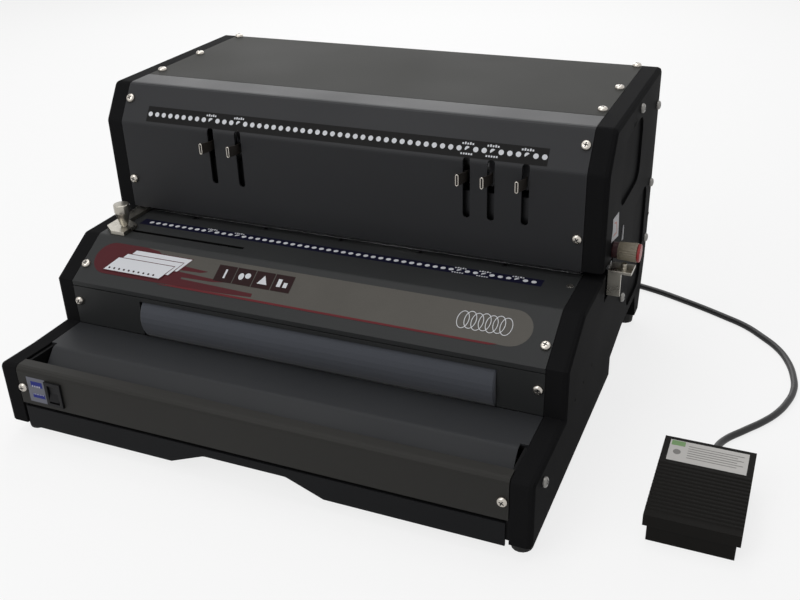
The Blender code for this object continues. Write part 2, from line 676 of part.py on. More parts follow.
deck_panel = add("deck_panel", prism(sheet(rounded(
    [(COVER_FACE_Y + DECK_TAIL, DECK_HEIGHT), (DECK_FRONT_Y, DECK_HEIGHT),
     (MIDDLE_FACE_Y, SLOPE_FOOT_HEIGHT), (MIDDLE_FACE_Y, SLOPE_FOOT_HEIGHT - SLOPE_LIP)],
    [0, BEND_RADIUS, 0, 0], closed=False)), "X", *FULL_WIDTH), CHARCOAL)
slot_half = GUIDE_SLOT_WIDTH / 2
guide_slot = rounded([(GUIDE_SLOT_LEFT, GUIDE_SLOT_Y - slot_half),
                      (GUIDE_SLOT_RIGHT, GUIDE_SLOT_Y - slot_half),
                      (GUIDE_SLOT_RIGHT, GUIDE_SLOT_Y + slot_half),
                      (GUIDE_SLOT_LEFT, GUIDE_SLOT_Y + slot_half)], [slot_half - SEAM] * 4)
combine(deck_panel, prism(guide_slot, "Z", DECK_HEIGHT - OVERRUN, DECK_HEIGHT + OVERRUN))
deck_screws = []
for x in DECK_SCREW_XS:
    deck_screws.append(turned([
        (DECK_HEIGHT - DECK_SCREW_LENGTH, DECK_SCREW_RADIUS),
        (DECK_HEIGHT - GAUGE / 2, DECK_SCREW_RADIUS),
        (DECK_HEIGHT - GAUGE / 2, DECK_SCREW_HEAD_RADIUS),
        (DECK_HEIGHT + DECK_SCREW_PROUD, DECK_SCREW_HEAD_RADIUS)],
        "Z", (x, DECK_SCREW_Y), SCREW_SIDES))
combine(deck_panel, merged(*deck_screws), "UNION")
fasten(deck_panel, "deck_panel")

middle_panel = add("middle_panel", block(
    FULL_WIDTH, (MIDDLE_FACE_Y, MIDDLE_FACE_Y + GAUGE),
    (SHELF_HEIGHT + SEAM, SLOPE_FOOT_HEIGHT - SLOPE_LIP - SHADOW_GAP)), CHARCOAL)
combine(middle_panel, block(
    (ROLLER_LEFT - ROLLER_END_GAP, ROLLER_RIGHT + ROLLER_END_GAP),
    (MIDDLE_FACE_Y - OVERRUN, MIDDLE_FACE_Y + OVERRUN),
    (SHELF_HEIGHT - OVERRUN, ROLLER_Z + ROLLER_WINDOW_RISE)))
fasten(middle_panel, "middle_panel")

shelf_tray = add("shelf_tray", prism(sheet(rounded(
    [(MIDDLE_FACE_Y - SEAM, SHELF_HEIGHT), (FOLD_Y, SHELF_HEIGHT),
     (TROUGH_LOW_Y, SHELF_HEIGHT - TROUGH_DEPTH), (TROUGH_FRONT_Y, SHELF_HEIGHT - TROUGH_DEPTH),
     (TROUGH_FRONT_Y, SHELF_HEIGHT - TROUGH_DEPTH + TROUGH_FRONT_RISE)],
    [0, FOLD_RADIUS, FOLD_RADIUS, FOLD_RADIUS, 0], closed=False)), "X", *FULL_WIDTH), CHARCOAL)
trough_ends = []
for side in (-1, 1):
    ends = sorted((side * (FRAME_INNER_X - TROUGH_SIDE_GAP), side * (COVER_HALF_WIDTH + OVERRUN)))
    trough_ends.append(block(ends, (-OVERRUN, FOLD_Y + FOLD_RADIUS), (0, BODY_TOP)))
combine(shelf_tray, merged(*trough_ends))

fascia_half = COVER_HALF_WIDTH - SEAM
front_fascia = add("front_fascia", prism(sheet(rounded(
    [(FASCIA_FLANGE_DEPTH, FASCIA_TOP - FASCIA_LIP), (FASCIA_FLANGE_DEPTH, FASCIA_TOP),
     (0, FASCIA_TOP), (0, FASCIA_BOTTOM), (FASCIA_RETURN, FASCIA_BOTTOM)],
    [0, 0, EDGE_RADIUS, 0, 0], closed=False)), "X", -fascia_half, fascia_half), FASCIA_GREY)
for side in (-1, 1):
    for start, top in ((FRAME_INNER_X - SEAM, FASCIA_TOP - SHEET_STEP),
                       (COVER_HALF_WIDTH - FRAME_RIM - SEAM, FASCIA_BOTTOM + SHEET_STEP + SEAM)):
        ends = sorted((side * start, side * (COVER_HALF_WIDTH + OVERRUN)))
        combine(front_fascia, block(ends, (GAUGE, FASCIA_RETURN + OVERRUN),
                                    (FASCIA_BOTTOM - OVERRUN, top)))
fasten(front_fascia, "front_fascia")

chamfer_run = REAR_CHAMFER_HEIGHT - PANEL_BOTTOM
rear_foot_y = BODY_DEPTH - REAR_CHAMFER_DEPTH * (REAR_CHAMFER_HEIGHT - FLOOR_HEIGHT) / chamfer_run
rear_cover = add("rear_cover", prism(sheet(
    [(rear_foot_y, FLOOR_HEIGHT), (BODY_DEPTH, REAR_CHAMFER_HEIGHT),
     (BODY_DEPTH, BODY_TOP - REAR_LIP - SHADOW_GAP)]), "X", *FULL_WIDTH), CHARCOAL)
vents = []
for column in range(VENT_COLUMNS):
    left = (column - VENT_COLUMNS / 2) * (VENT_LENGTH + VENT_GAP) + VENT_GAP / 2
    for row in range(VENT_ROWS):
        low = BODY_TOP * VENT_SHARE + row * VENT_PITCH
        vents.append(block((left, left + VENT_LENGTH), (BODY_DEPTH - OVERRUN, BODY_DEPTH + OVERRUN),
                           (low, low + VENT_HEIGHT)))
combine(rear_cover, merged(*vents))

# Floor over the chip drawer, with the chute that the chips fall through
FLOOR_FRONT_Y = 0.022
FLOOR_REAR_MARGIN = 0.012
CHUTE_MARGIN = 0.0223
CHUTE_HALF_WIDTH = COVER_HALF_WIDTH - CHUTE_MARGIN
CHUTE_FRONT = 0.010
CHUTE_REAR = 0.012
floor_plate = add("floor_plate", block(
    (-FRAME_INNER_X + SEAM, FRAME_INNER_X - SEAM), (FLOOR_FRONT_Y, BODY_DEPTH - FLOOR_REAR_MARGIN),
    (FLOOR_HEIGHT, FLOOR_HEIGHT + GAUGE)), ZINC_PLATE)
combine(floor_plate, block(
    (-CHUTE_HALF_WIDTH, CHUTE_HALF_WIDTH), (PIN_ROW_Y - CHUTE_FRONT, PIN_ROW_Y + CHUTE_REAR),
    (FLOOR_HEIGHT - OVERRUN, FLOOR_HEIGHT + OVERRUN)))
FLOOR_TOP = FLOOR_HEIGHT + GAUGE

# Lugs turned up from the floor plate, which carry the roller's shaft
ROLLER_SHAFT_RADIUS = 0.005
LUG_GAP = 0.0025
LUG_GAUGE = 0.003
LUG_HALF_DEPTH = 0.0095
LUG_MARGIN = 0.009
lug_outline = rounded(
    [(ROLLER_Y - LUG_HALF_DEPTH, FLOOR_HEIGHT), (ROLLER_Y + LUG_HALF_DEPTH, FLOOR_HEIGHT),
     (ROLLER_Y + LUG_HALF_DEPTH, ROLLER_Z + LUG_MARGIN),
     (ROLLER_Y - LUG_HALF_DEPTH, ROLLER_Z + LUG_MARGIN)],
    [0, 0, LUG_MARGIN / 2, LUG_MARGIN / 2])
combine(floor_plate, merged(
    prism(lug_outline, "X", ROLLER_LEFT - LUG_GAP - LUG_GAUGE, ROLLER_LEFT - LUG_GAP),
    prism(lug_outline, "X", ROLLER_RIGHT + LUG_GAP, ROLLER_RIGHT + LUG_GAP + LUG_GAUGE)), "UNION")
combine(floor_plate, rod("X", (ROLLER_Y, ROLLER_Z), ROLLER_SHAFT_RADIUS + RUNNING_FIT,
                         -COVER_HALF_WIDTH, COVER_HALF_WIDTH))

# Chip drawer: front plate with a finger cut-out, and the tray behind it
DRAWER_BOTTOM = 0.010
DRAWER_TOP = 0.0283
DRAWER_SIDE_GAP = 0.0023
TRAY_SIDE_GAP = 0.0106
TRAY_TOP = 0.0277
TRAY_FRONT_Y = 0.026
TRAY_REAR_Y = 0.196
TRAY_WALL = 0.0014
CUTOUT_HEIGHT = 0.0115
CUTOUT_HALF_WIDTH = 0.0615
CUTOUT_TOP_HALF_WIDTH = 0.033
CUTOUT_ROUND = 0.010
TRAY_BOTTOM = PANEL_BOTTOM + SHEET_STEP + RIM_GAUGE + SEAM
drawer_half = COVER_HALF_WIDTH - DRAWER_SIDE_GAP
tray_half = FRAME_INNER_X - TRAY_SIDE_GAP
tray_sides = (-tray_half, tray_half)
tray_hollow = (-tray_half + TRAY_WALL, tray_half - TRAY_WALL)
chip_drawer = add("chip_drawer", block((-drawer_half, drawer_half), (0, GAUGE),
                                       (DRAWER_BOTTOM, DRAWER_TOP)), BLACK_SATIN)
combine(chip_drawer, block(tray_sides, (GAUGE / 2, TRAY_REAR_Y), (TRAY_BOTTOM, TRAY_TOP)), "UNION")
combine(chip_drawer, block(tray_hollow, (GAUGE, TRAY_FRONT_Y),
                           (TRAY_BOTTOM - OVERRUN, TRAY_TOP + OVERRUN)))
combine(chip_drawer, block(tray_hollow, (TRAY_FRONT_Y + TRAY_WALL, TRAY_REAR_Y - TRAY_WALL),
                           (TRAY_BOTTOM + TRAY_WALL, TRAY_TOP + OVERRUN)))
cutout_low = DRAWER_BOTTOM - OVERRUN
cutout_top = DRAWER_BOTTOM + CUTOUT_HEIGHT
cutout_spread = (CUTOUT_HALF_WIDTH - CUTOUT_TOP_HALF_WIDTH) * OVERRUN / CUTOUT_HEIGHT
cutout_wide = CUTOUT_HALF_WIDTH + cutout_spread
finger_cutout = rounded(
    [(-cutout_wide, cutout_low), (cutout_wide, cutout_low),
     (CUTOUT_TOP_HALF_WIDTH, cutout_top), (-CUTOUT_TOP_HALF_WIDTH, cutout_top)],
    [0, 0, CUTOUT_ROUND, CUTOUT_ROUND])
combine(chip_drawer, prism(finger_cutout, "Y", -OVERRUN, GAUGE + OVERRUN))

# Rubber feet under the side panels
FOOT_RADIUS = 0.0085
FOOT_TAPER = 0.0012
FOOT_SHARE = 0.3
FOOT_SIDES = 16
FOOT_X = PANEL_INNER_X + PANEL_THICKNESS * FOOT_SHARE
FOOT_FRONT_Y = 0.016
FOOT_REAR_MARGIN = 0.018
for side_name, x in (("left", -FOOT_X), ("right", FOOT_X)):
    for end_name, y in (("front", FOOT_FRONT_Y), ("rear", BODY_DEPTH - FOOT_REAR_MARGIN)):
        add("%s_%s_foot" % (end_name, side_name),
            turned([(0, FOOT_RADIUS - FOOT_TAPER), (PANEL_BOTTOM - SEAM, FOOT_RADIUS)],
                   "Z", (x, y), FOOT_SIDES), RUBBER, smooth=True)

# Power switch on the fascia
SWITCH_MARGIN = 0.0333
SWITCH_CENTRE_X = SWITCH_MARGIN - COVER_HALF_WIDTH
SWITCH_WIDTH = 0.0145
SWITCH_HEIGHT = 0.0205
SWITCH_WALL = 0.0016
SWITCH_FLANGE = 0.0016
SWITCH_BODY_DEPTH = 0.010
SWITCH_LIP = 0.0010
ROCKER_TILT = math.radians(8)
ROCKER_TRAVEL = math.radians(16)
SWITCH_HEIGHT_SHARE = 0.44
SWITCH_Z = between(FASCIA_BOTTOM, FASCIA_TOP, SWITCH_HEIGHT_SHARE)


def centred(middle, size):
    """(low, high) pair of a size about its middle."""
    return (middle - size / 2, middle + size / 2)


body_width = SWITCH_WIDTH - 2 * SWITCH_LIP
body_height = SWITCH_HEIGHT - 2 * SWITCH_LIP
combine(front_fascia, block(centred(SWITCH_CENTRE_X, body_width + 2 * SEAM),
                            (-OVERRUN, GAUGE + OVERRUN),
                            centred(SWITCH_Z, body_height + 2 * SEAM)))
switch_bezel = add("switch_bezel", block(
    centred(SWITCH_CENTRE_X, SWITCH_WIDTH), (-SEAM - SWITCH_FLANGE, -SEAM),
    centred(SWITCH_Z, SWITCH_HEIGHT)), BLACK_PLASTIC)
combine(switch_bezel, block(
    centred(SWITCH_CENTRE_X, body_width), (-SEAM - SWITCH_FLANGE / 2, SWITCH_BODY_DEPTH),
    centred(SWITCH_Z, body_height)), "UNION")
combine(switch_bezel, block(
    centred(SWITCH_CENTRE_X, body_width - 2 * SWITCH_WALL),
    (-SWITCH_FLANGE - OVERRUN, SWITCH_BODY_DEPTH - SWITCH_WALL),
    centred(SWITCH_Z, body_height - 2 * SWITCH_WALL)))
rocker_half = body_height / 2 - SWITCH_WALL - RUNNING_FIT
rocker_half_width = body_width / 2 - SWITCH_WALL - RUNNING_FIT
ROCKER_PIVOT_Y = 0.0035
ROCKER_FACE = 0.0028
ROCKER_BACK = 0.004
ROCKER_NOSE_SHARE = 0.86
rocker_nose = rocker_half * ROCKER_NOSE_SHARE
rocker_outline = [(ROCKER_PIVOT_Y + ROCKER_BACK, SWITCH_Z - rocker_half / 2),
                  (ROCKER_PIVOT_Y + ROCKER_BACK, SWITCH_Z + rocker_half / 2),
                  (-ROCKER_FACE / 2, SWITCH_Z + rocker_nose),
                  (-SEAM, SWITCH_Z),
                  (-ROCKER_FACE / 2, SWITCH_Z - rocker_nose)]
rocker = prism(rocker_outline, "X", SWITCH_CENTRE_X - rocker_half_width,
               SWITCH_CENTRE_X + rocker_half_width)
rocker_pivot = Vector((SWITCH_CENTRE_X, ROCKER_PIVOT_Y, SWITCH_Z))
rocker.transform(Matrix.Translation(rocker_pivot) @ Matrix.Rotation(-ROCKER_TILT, 4, "X")
                 @ Matrix.Translation(-rocker_pivot))
add("switch_rocker", rocker, BLACK_PLASTIC, rocker_pivot)

# Coil inserter: foam roller on its shaft, belt drive and motor under the slope
ROLLER_BORE_RADIUS = ROLLER_SHAFT_RADIUS + RUNNING_FIT
ROLLER_ROUND = 0.0012
ROLLER_SIDES = 32
ROLLER_SHAFT_LEFT = 0.0075
PULLEY_RADIUS = 0.013
PULLEY_FLANGE_RADIUS = 0.0155
PULLEY_FLANGE = 0.0015
BELT_WIDTH = 0.006
BELT_GAUGE = 0.0015
BELT_STEPS = 10
MOTOR_PULLEY_RADIUS = 0.009
MOTOR_PULLEY_FLANGE_RADIUS = 0.0115
INSERTER_MOTOR_Y = 0.150
INSERTER_MOTOR_Z = 0.073
INSERTER_MOTOR_RADIUS = 0.018
INSERTER_MOTOR_LENGTH = 0.062
INSERTER_SHAFT_RADIUS = 0.003
roller_axis = (ROLLER_Y, ROLLER_Z)
roller_pivot = (0, ROLLER_Y, ROLLER_Z)
add("inserter_roller", turned([
    (ROLLER_LEFT, ROLLER_BORE_RADIUS), (ROLLER_LEFT, ROLLER_RADIUS - ROLLER_ROUND),
    (ROLLER_LEFT + ROLLER_ROUND, ROLLER_RADIUS), (ROLLER_RIGHT - ROLLER_ROUND, ROLLER_RADIUS),
    (ROLLER_RIGHT, ROLLER_RADIUS - ROLLER_ROUND), (ROLLER_RIGHT, ROLLER_BORE_RADIUS)],
    "X", roller_axis, ROLLER_SIDES, closed=True), FOAM, roller_pivot, smooth=True)
pulley_left = ROLLER_RIGHT + LUG_GAP + LUG_GAUGE + LUG_GAP / 2
pulley_width = BELT_WIDTH + 2 * PULLEY_FLANGE + 2 * SEAM
pulley_right = pulley_left + pulley_width
add("roller_shaft", rod("X", roller_axis, ROLLER_SHAFT_RADIUS,
                        ROLLER_LEFT - LUG_GAP - LUG_GAUGE - ROLLER_SHAFT_LEFT,
                        pulley_right + PULLEY_FLANGE, HIDDEN_SIDES),
    STEEL, roller_pivot, smooth=True)


def pulley(axis, left, radius, flange_radius, bore):
    """Belt pulley with a flange on each side."""
    inner_left = left + PULLEY_FLANGE
    right = left + pulley_width
    inner_right = right - PULLEY_FLANGE
    profile = [(left, bore), (left, flange_radius), (inner_left, flange_radius),
               (inner_left, radius), (inner_right, radius), (inner_right, flange_radius),
               (right, flange_radius), (right, bore)]
    return turned(profile, "X", axis, HIDDEN_SIDES, closed=True)


add("roller_pulley", pulley(roller_axis, pulley_left, PULLEY_RADIUS, PULLEY_FLANGE_RADIUS,
                            ROLLER_BORE_RADIUS), BLACK_PLASTIC, roller_pivot, smooth=True)
motor_axis = (INSERTER_MOTOR_Y, INSERTER_MOTOR_Z)
motor_pulley = add("motor_pulley", pulley(
    motor_axis, pulley_left, MOTOR_PULLEY_RADIUS, MOTOR_PULLEY_FLANGE_RADIUS,
    INSERTER_SHAFT_RADIUS - SEAM), STEEL, (0, INSERTER_MOTOR_Y, INSERTER_MOTOR_Z), smooth=True)
motor_face = pulley_left - LUG_GAP
combine(motor_pulley, rod("X", motor_axis, INSERTER_SHAFT_RADIUS, motor_face + SEAM,
                          pulley_right + PULLEY_FLANGE, HIDDEN_SIDES), "UNION")


def belt_outline(extra):
    """Open belt line round both pulleys, at a distance outside their grooves."""
    first = Vector(roller_axis)
    second = Vector(motor_axis)
    reach = second - first
    heading = math.atan2(reach.y, reach.x)
    spread = math.acos((PULLEY_RADIUS - MOTOR_PULLEY_RADIUS) / reach.length)
    outline = []
    for centre, radius, start, stop in (
            (first, PULLEY_RADIUS + extra, heading + spread, heading + 2 * math.pi - spread),
            (second, MOTOR_PULLEY_RADIUS + extra, heading - spread, heading + spread)):
        for step in range(BELT_STEPS + 1):
            angle = between(start, stop, step / BELT_STEPS)
            outline.append((centre.x + radius * math.cos(angle),
                            centre.y + radius * math.sin(angle)))
    return outline


belt_left = pulley_left + PULLEY_FLANGE + SEAM
add("drive_belt", frame_prism(belt_outline(SEAM + BELT_GAUGE), belt_outline(SEAM), "X",
                              belt_left, belt_left + BELT_WIDTH), RUBBER)

MOTOR_END_SHARE = 0.9
CRADLE_WIDTH_SHARE = 0.6
CRADLE_LENGTH_SHARE = 0.8
inserter_motor = add("inserter_motor", turned([
    (motor_face - INSERTER_MOTOR_LENGTH, INSERTER_MOTOR_RADIUS * MOTOR_END_SHARE),
    (motor_face - INSERTER_MOTOR_LENGTH + GAUGE, INSERTER_MOTOR_RADIUS),
    (motor_face, INSERTER_MOTOR_RADIUS)], "X", motor_axis, HIDDEN_SIDES), MOTOR_GREY, smooth=True)
cradle_half = INSERTER_MOTOR_RADIUS * CRADLE_WIDTH_SHARE
combine(inserter_motor, block(
    (motor_face - INSERTER_MOTOR_LENGTH * CRADLE_LENGTH_SHARE, motor_face - GAUGE),
    (INSERTER_MOTOR_Y - cradle_half, INSERTER_MOTOR_Y + cradle_half),
    (FLOOR_TOP + SEAM, INSERTER_MOTOR_Z - cradle_half)), "UNION")

# Punch: drilled guide and die, 53 pins, pressure bar with yokes, and the shaft that drives it
GUIDE_HALF_WIDTH = FRAME_INNER_X - SEAM
BAR_SIDE_GAP = 0.0143
BAR_HALF_WIDTH = FRAME_INNER_X - BAR_SIDE_GAP
GUIDE_FRONT = 0.0053
GUIDE_REAR = 0.006
DIE_HEIGHT = 0.010
DIE_REAR = 0.018
HOLE_RADIUS = PIN_RADIUS + RUNNING_FIT
pin_xs = [ROW_CENTRE_X + HOLE_PITCH * (index - (HOLE_COUNT - 1) / 2)
          for index in range(HOLE_COUNT)]


def hole_row(low, high):
    """Cutter for the row of pin holes."""
    return merged(*[rod("Z", (x, PIN_ROW_Y), HOLE_RADIUS, low - OVERRUN, high + OVERRUN, PIN_SIDES)
                    for x in pin_xs])


guide_ends = (-GUIDE_HALF_WIDTH, GUIDE_HALF_WIDTH)
pin_guide = add("pin_guide", block(
    guide_ends, (PIN_ROW_Y - GUIDE_FRONT, PIN_ROW_Y + GUIDE_REAR),
    (GUIDE_BOTTOM, GUIDE_TOP)), STEEL)
combine(pin_guide, hole_row(GUIDE_BOTTOM, GUIDE_TOP))
die_plate = add("die_plate", block(
    guide_ends, (COVER_FACE_Y + DECK_TAIL + SEAM, PIN_ROW_Y + DIE_REAR),
    (DECK_HEIGHT - DIE_HEIGHT, DECK_HEIGHT)), STEEL)
combine(die_plate, hole_row(DECK_HEIGHT - DIE_HEIGHT, DECK_HEIGHT))

bar_pivot = (0, PIN_ROW_Y, BAR_BOTTOM)
punch_bar = add("punch_bar", block(
    (-BAR_HALF_WIDTH, BAR_HALF_WIDTH), (BAR_FRONT_Y, BAR_FRONT_Y + BAR_DEPTH),
    (BAR_BOTTOM, BAR_TOP)), STEEL, bar_pivot)
combine(punch_bar, merged(*[rod("Z", (x, PIN_ROW_Y), PIN_RADIUS, GUIDE_BOTTOM + PIN_RETRACT,
                                BAR_BOTTOM + OVERRUN, PIN_SIDES) for x in pin_xs]), "UNION")

GEARBOX_WIDTH = 0.0718
YOKE_GAP = 0.023
GEARBOX_LEFT = FRAME_INNER_X - GEARBOX_WIDTH
YOKE_X = GEARBOX_LEFT - YOKE_GAP
YOKE_GAUGE = 0.008
YOKE_CHAMFER = 0.008
slot_chamfer = YOKE_CHAMFER - YOKE_SIDE_WALL * (2 - math.sqrt(2))
slot_front = SHAFT_Y - YOKE_SLOT_HALF_DEPTH
slot_rear = SHAFT_Y + YOKE_SLOT_HALF_DEPTH
slot_low = YOKE_CENTRE_Z - YOKE_SLOT_HALF_HEIGHT
slot_high = YOKE_CENTRE_Z + YOKE_SLOT_HALF_HEIGHT
yoke_top = slot_high + YOKE_SIDE_WALL
yoke_rear = SHAFT_Y + YOKE_HALF_DEPTH
yoke_front = SHAFT_Y - YOKE_HALF_DEPTH
for yoke_name, x in (("left_yoke", -YOKE_X), ("right_yoke", YOKE_X)):
    outer = [(yoke_front, YOKE_BOTTOM), (yoke_rear, YOKE_BOTTOM), (yoke_rear, yoke_top),
             (yoke_front + YOKE_CHAMFER, yoke_top), (yoke_front, yoke_top - YOKE_CHAMFER)]
    inner = [(slot_front, slot_low), (slot_rear, slot_low), (slot_rear, slot_high),
             (slot_front + slot_chamfer, slot_high), (slot_front, slot_high - slot_chamfer)]
    add(yoke_name, frame_prism(outer, inner, "X", x - YOKE_GAUGE / 2, x + YOKE_GAUGE / 2),
        STEEL, bar_pivot)

GEARBOX_SOCKET = 0.020
shaft_axis = (SHAFT_Y, SHAFT_Z)
shaft_pivot = (0, SHAFT_Y, SHAFT_Z)
drive_shaft = add("drive_shaft", rod("X", shaft_axis, SHAFT_RADIUS,
                                     -FRAME_INNER_X + GAUGE, GEARBOX_LEFT + GEARBOX_SOCKET - GAUGE,
                                     HIDDEN_SIDES), STEEL, shaft_pivot, smooth=True)
for x in (-YOKE_X, YOKE_X):
    combine(drive_shaft, rod("X", (SHAFT_Y, SHAFT_Z + ECCENTRICITY), ECCENTRIC_RADIUS,
                             x - YOKE_GAUGE, x + YOKE_GAUGE), "UNION")
bush_left = -COVER_HALF_WIDTH
add("shaft_bush", turned([
    (bush_left, SHAFT_RADIUS + RUNNING_FIT), (bush_left, BUSH_RADIUS),
    (-FRAME_INNER_X + SEAM, BUSH_RADIUS), (-FRAME_INNER_X + SEAM, BUSH_FLANGE_RADIUS),
    (-FRAME_INNER_X + SEAM + BUSH_FLANGE, BUSH_FLANGE_RADIUS),
    (-FRAME_INNER_X + SEAM + BUSH_FLANGE, BUSH_RADIUS),
    (bush_left + BUSH_LENGTH, BUSH_RADIUS), (bush_left + BUSH_LENGTH, SHAFT_RADIUS + RUNNING_FIT)],
    "X", shaft_axis, HIDDEN_SIDES, closed=True), BRONZE, smooth=True)

GEARBOX_FRONT = 0.013
GEARBOX_REAR_MARGIN = 0.047
GEARBOX_LIFT = 0.006
GEARBOX_TOP = 0.022
GEARBOX_CHAMFER = 0.008
GEARBOX_NOSE = 0.0115
PUNCH_MOTOR_SHARE = 0.2974
PUNCH_MOTOR_LENGTH = 0.100
gear_front = SHAFT_Y - GEARBOX_FRONT
gear_rear = BODY_DEPTH - GEARBOX_REAR_MARGIN
punch_motor_radius = (gear_rear - SHAFT_Y - YOKE_HALF_DEPTH) * PUNCH_MOTOR_SHARE
gear_base = DIAL_Z + GEARBOX_LIFT
gear_top = SHAFT_Z + GEARBOX_TOP
gear_nose = BAR_TOP + 2 * RUNNING_FIT + SHEET_STEP
gearbox = add("gearbox", prism(
    [(gear_front, gear_nose), (BAR_FRONT_Y + BAR_DEPTH + GEARBOX_NOSE, gear_nose),
     (BAR_FRONT_Y + BAR_DEPTH + 2 * GEARBOX_NOSE, gear_base), (gear_rear, gear_base),
     (gear_rear, gear_top), (gear_front + GEARBOX_CHAMFER, gear_top),
     (gear_front, gear_top - GEARBOX_CHAMFER)],
    "X", GEARBOX_LEFT, FRAME_INNER_X - SEAM), MOTOR_GREY)
combine(gearbox, rod("X", shaft_axis, SHAFT_RADIUS + RUNNING_FIT, GEARBOX_LEFT - OVERRUN,
                     GEARBOX_LEFT + GEARBOX_SOCKET, HIDDEN_SIDES))
punch_motor_axis = (gear_rear - punch_motor_radius - GAUGE, SHAFT_Z - GEARBOX_TOP)
MOTOR_PROFILE_SHARES = ((1.0, 0.4), (0.95, 0.9), (0.85, 1.0), (0, 1.0))
add("punch_motor", turned([
    (GEARBOX_LEFT - SEAM - PUNCH_MOTOR_LENGTH * far, punch_motor_radius * wide)
    for far, wide in MOTOR_PROFILE_SHARES], "X", punch_motor_axis, HIDDEN_SIDES),
    MOTOR_GREY, smooth=True)

# Size levers: strips that slide in the upright slots of the front cover and lean to the left
LEVER_HEIGHT = 0.010
LEVER_GAUGE = 0.002
LEVER_REACH = 0.0118
LEVER_KNEE = 0.001
LEVER_LEAN = 0.0047
LEVER_HEM = 0.0008
LEVER_PAD_HALF_WIDTH = 0.0045
LEVER_DROP = 0.009
lever_top = LEVER_SLOT_TOP - LEVER_DROP
lever_low = lever_top - LEVER_HEIGHT
for number, x in enumerate(LEVER_XS, 1):
    left = x - LEVER_GAUGE / 2
    right = x + LEVER_GAUGE / 2
    pad_front = COVER_FACE_Y + GAUGE + SEAM
    pad_rear = pad_front + LEVER_GAUGE
    knee = COVER_FACE_Y - LEVER_KNEE
    tip = COVER_FACE_Y - LEVER_REACH
    outline = [
        (right - LEVER_LEAN + LEVER_HEM, tip), (right, knee), (right, pad_front),
        (x + LEVER_PAD_HALF_WIDTH, pad_front), (x + LEVER_PAD_HALF_WIDTH, pad_rear),
        (x - LEVER_PAD_HALF_WIDTH, pad_rear), (x - LEVER_PAD_HALF_WIDTH, pad_front),
        (left, pad_front), (left, knee), (left - LEVER_LEAN, tip)]
    add("size_lever_%d" % number, prism(outline, "Z", lever_low, lever_top), NICKEL,
        (x, COVER_FACE_Y, lever_low + LEVER_HEIGHT / 2))

# Edge guide: plate on the deck, its thumb knob and the nut below the slot
GUIDE_PLATE_LEFT = 0.0145
GUIDE_PLATE_RIGHT = 0.0040
GUIDE_PLATE_GAUGE = 0.003
GUIDE_PLATE_FRONT = 0.012
GUIDE_PLATE_REAR = 0.0415
GUIDE_FOOT_RIGHT = 0.0078
GUIDE_STEM_RADIUS = 0.0014
GUIDE_NUT_HEIGHT = 0.004
KNOB_NECK_HEIGHT = 0.0095
KNOB_HEIGHT = 0.0205
KNOB_RADIUS = 0.0062
KNOB_NECK_RADIUS = 0.0034
KNOB_CHAMFER = 0.0008
KNOB_SIDES = 20
guide_low = DECK_HEIGHT + SEAM
guide_high = guide_low + GUIDE_PLATE_GAUGE
guide_outline = [
    (GUIDE_KNOB_X - GUIDE_PLATE_LEFT, GUIDE_SLOT_Y - GUIDE_PLATE_FRONT / 3),
    (GUIDE_KNOB_X - GUIDE_PLATE_LEFT / 3, GUIDE_SLOT_Y - GUIDE_PLATE_FRONT),
    (GUIDE_KNOB_X + GUIDE_FOOT_RIGHT, GUIDE_SLOT_Y - GUIDE_PLATE_FRONT),
    (GUIDE_KNOB_X + GUIDE_FOOT_RIGHT, GUIDE_SLOT_Y + GUIDE_PLATE_FRONT / 2),
    (GUIDE_KNOB_X - GUIDE_PLATE_RIGHT, GUIDE_SLOT_Y + GUIDE_PLATE_FRONT),
    (GUIDE_KNOB_X - GUIDE_PLATE_RIGHT, GUIDE_SLOT_Y + GUIDE_PLATE_REAR),
    (GUIDE_KNOB_X - GUIDE_PLATE_LEFT, GUIDE_SLOT_Y + GUIDE_PLATE_REAR)]
edge_guide = add("edge_guide", prism(guide_outline, "Z", guide_low, guide_high), NICKEL,
                 (GUIDE_KNOB_X, GUIDE_SLOT_Y, DECK_HEIGHT))
combine(edge_guide, rod("Z", (GUIDE_KNOB_X, GUIDE_SLOT_Y), GUIDE_STEM_RADIUS + RUNNING_FIT,
                        guide_low - OVERRUN, guide_high + OVERRUN, SMALL_SIDES))
nut_top = DECK_HEIGHT - SHEET_STEP
nut_low = nut_top - GUIDE_NUT_HEIGHT
guide_nut = add("guide_nut", block(centred(GUIDE_KNOB_X, 2 * GUIDE_NUT_HALF),
                                   centred(GUIDE_SLOT_Y, 2 * GUIDE_NUT_HALF), (nut_low, nut_top)),
                STEEL, (GUIDE_KNOB_X, GUIDE_SLOT_Y, DECK_HEIGHT))
combine(guide_nut, rod("Z", (GUIDE_KNOB_X, GUIDE_SLOT_Y), GUIDE_STEM_RADIUS + RUNNING_FIT,
                       nut_low - OVERRUN, nut_top + OVERRUN, SMALL_SIDES))
neck_low = guide_high + SEAM
add("guide_knob", turned([
    (nut_low - SEAM, GUIDE_STEM_RADIUS), (neck_low, GUIDE_STEM_RADIUS),
    (neck_low, KNOB_NECK_RADIUS), (neck_low + KNOB_NECK_HEIGHT, KNOB_RADIUS - KNOB_CHAMFER),
    (neck_low + KNOB_NECK_HEIGHT, KNOB_RADIUS),
    (neck_low + KNOB_HEIGHT - KNOB_CHAMFER, KNOB_RADIUS),
    (neck_low + KNOB_HEIGHT, KNOB_RADIUS - KNOB_CHAMFER)],
    "Z", (GUIDE_KNOB_X, GUIDE_SLOT_Y), KNOB_SIDES), NICKEL,
    (GUIDE_KNOB_X, GUIDE_SLOT_Y, DECK_HEIGHT), smooth=True)

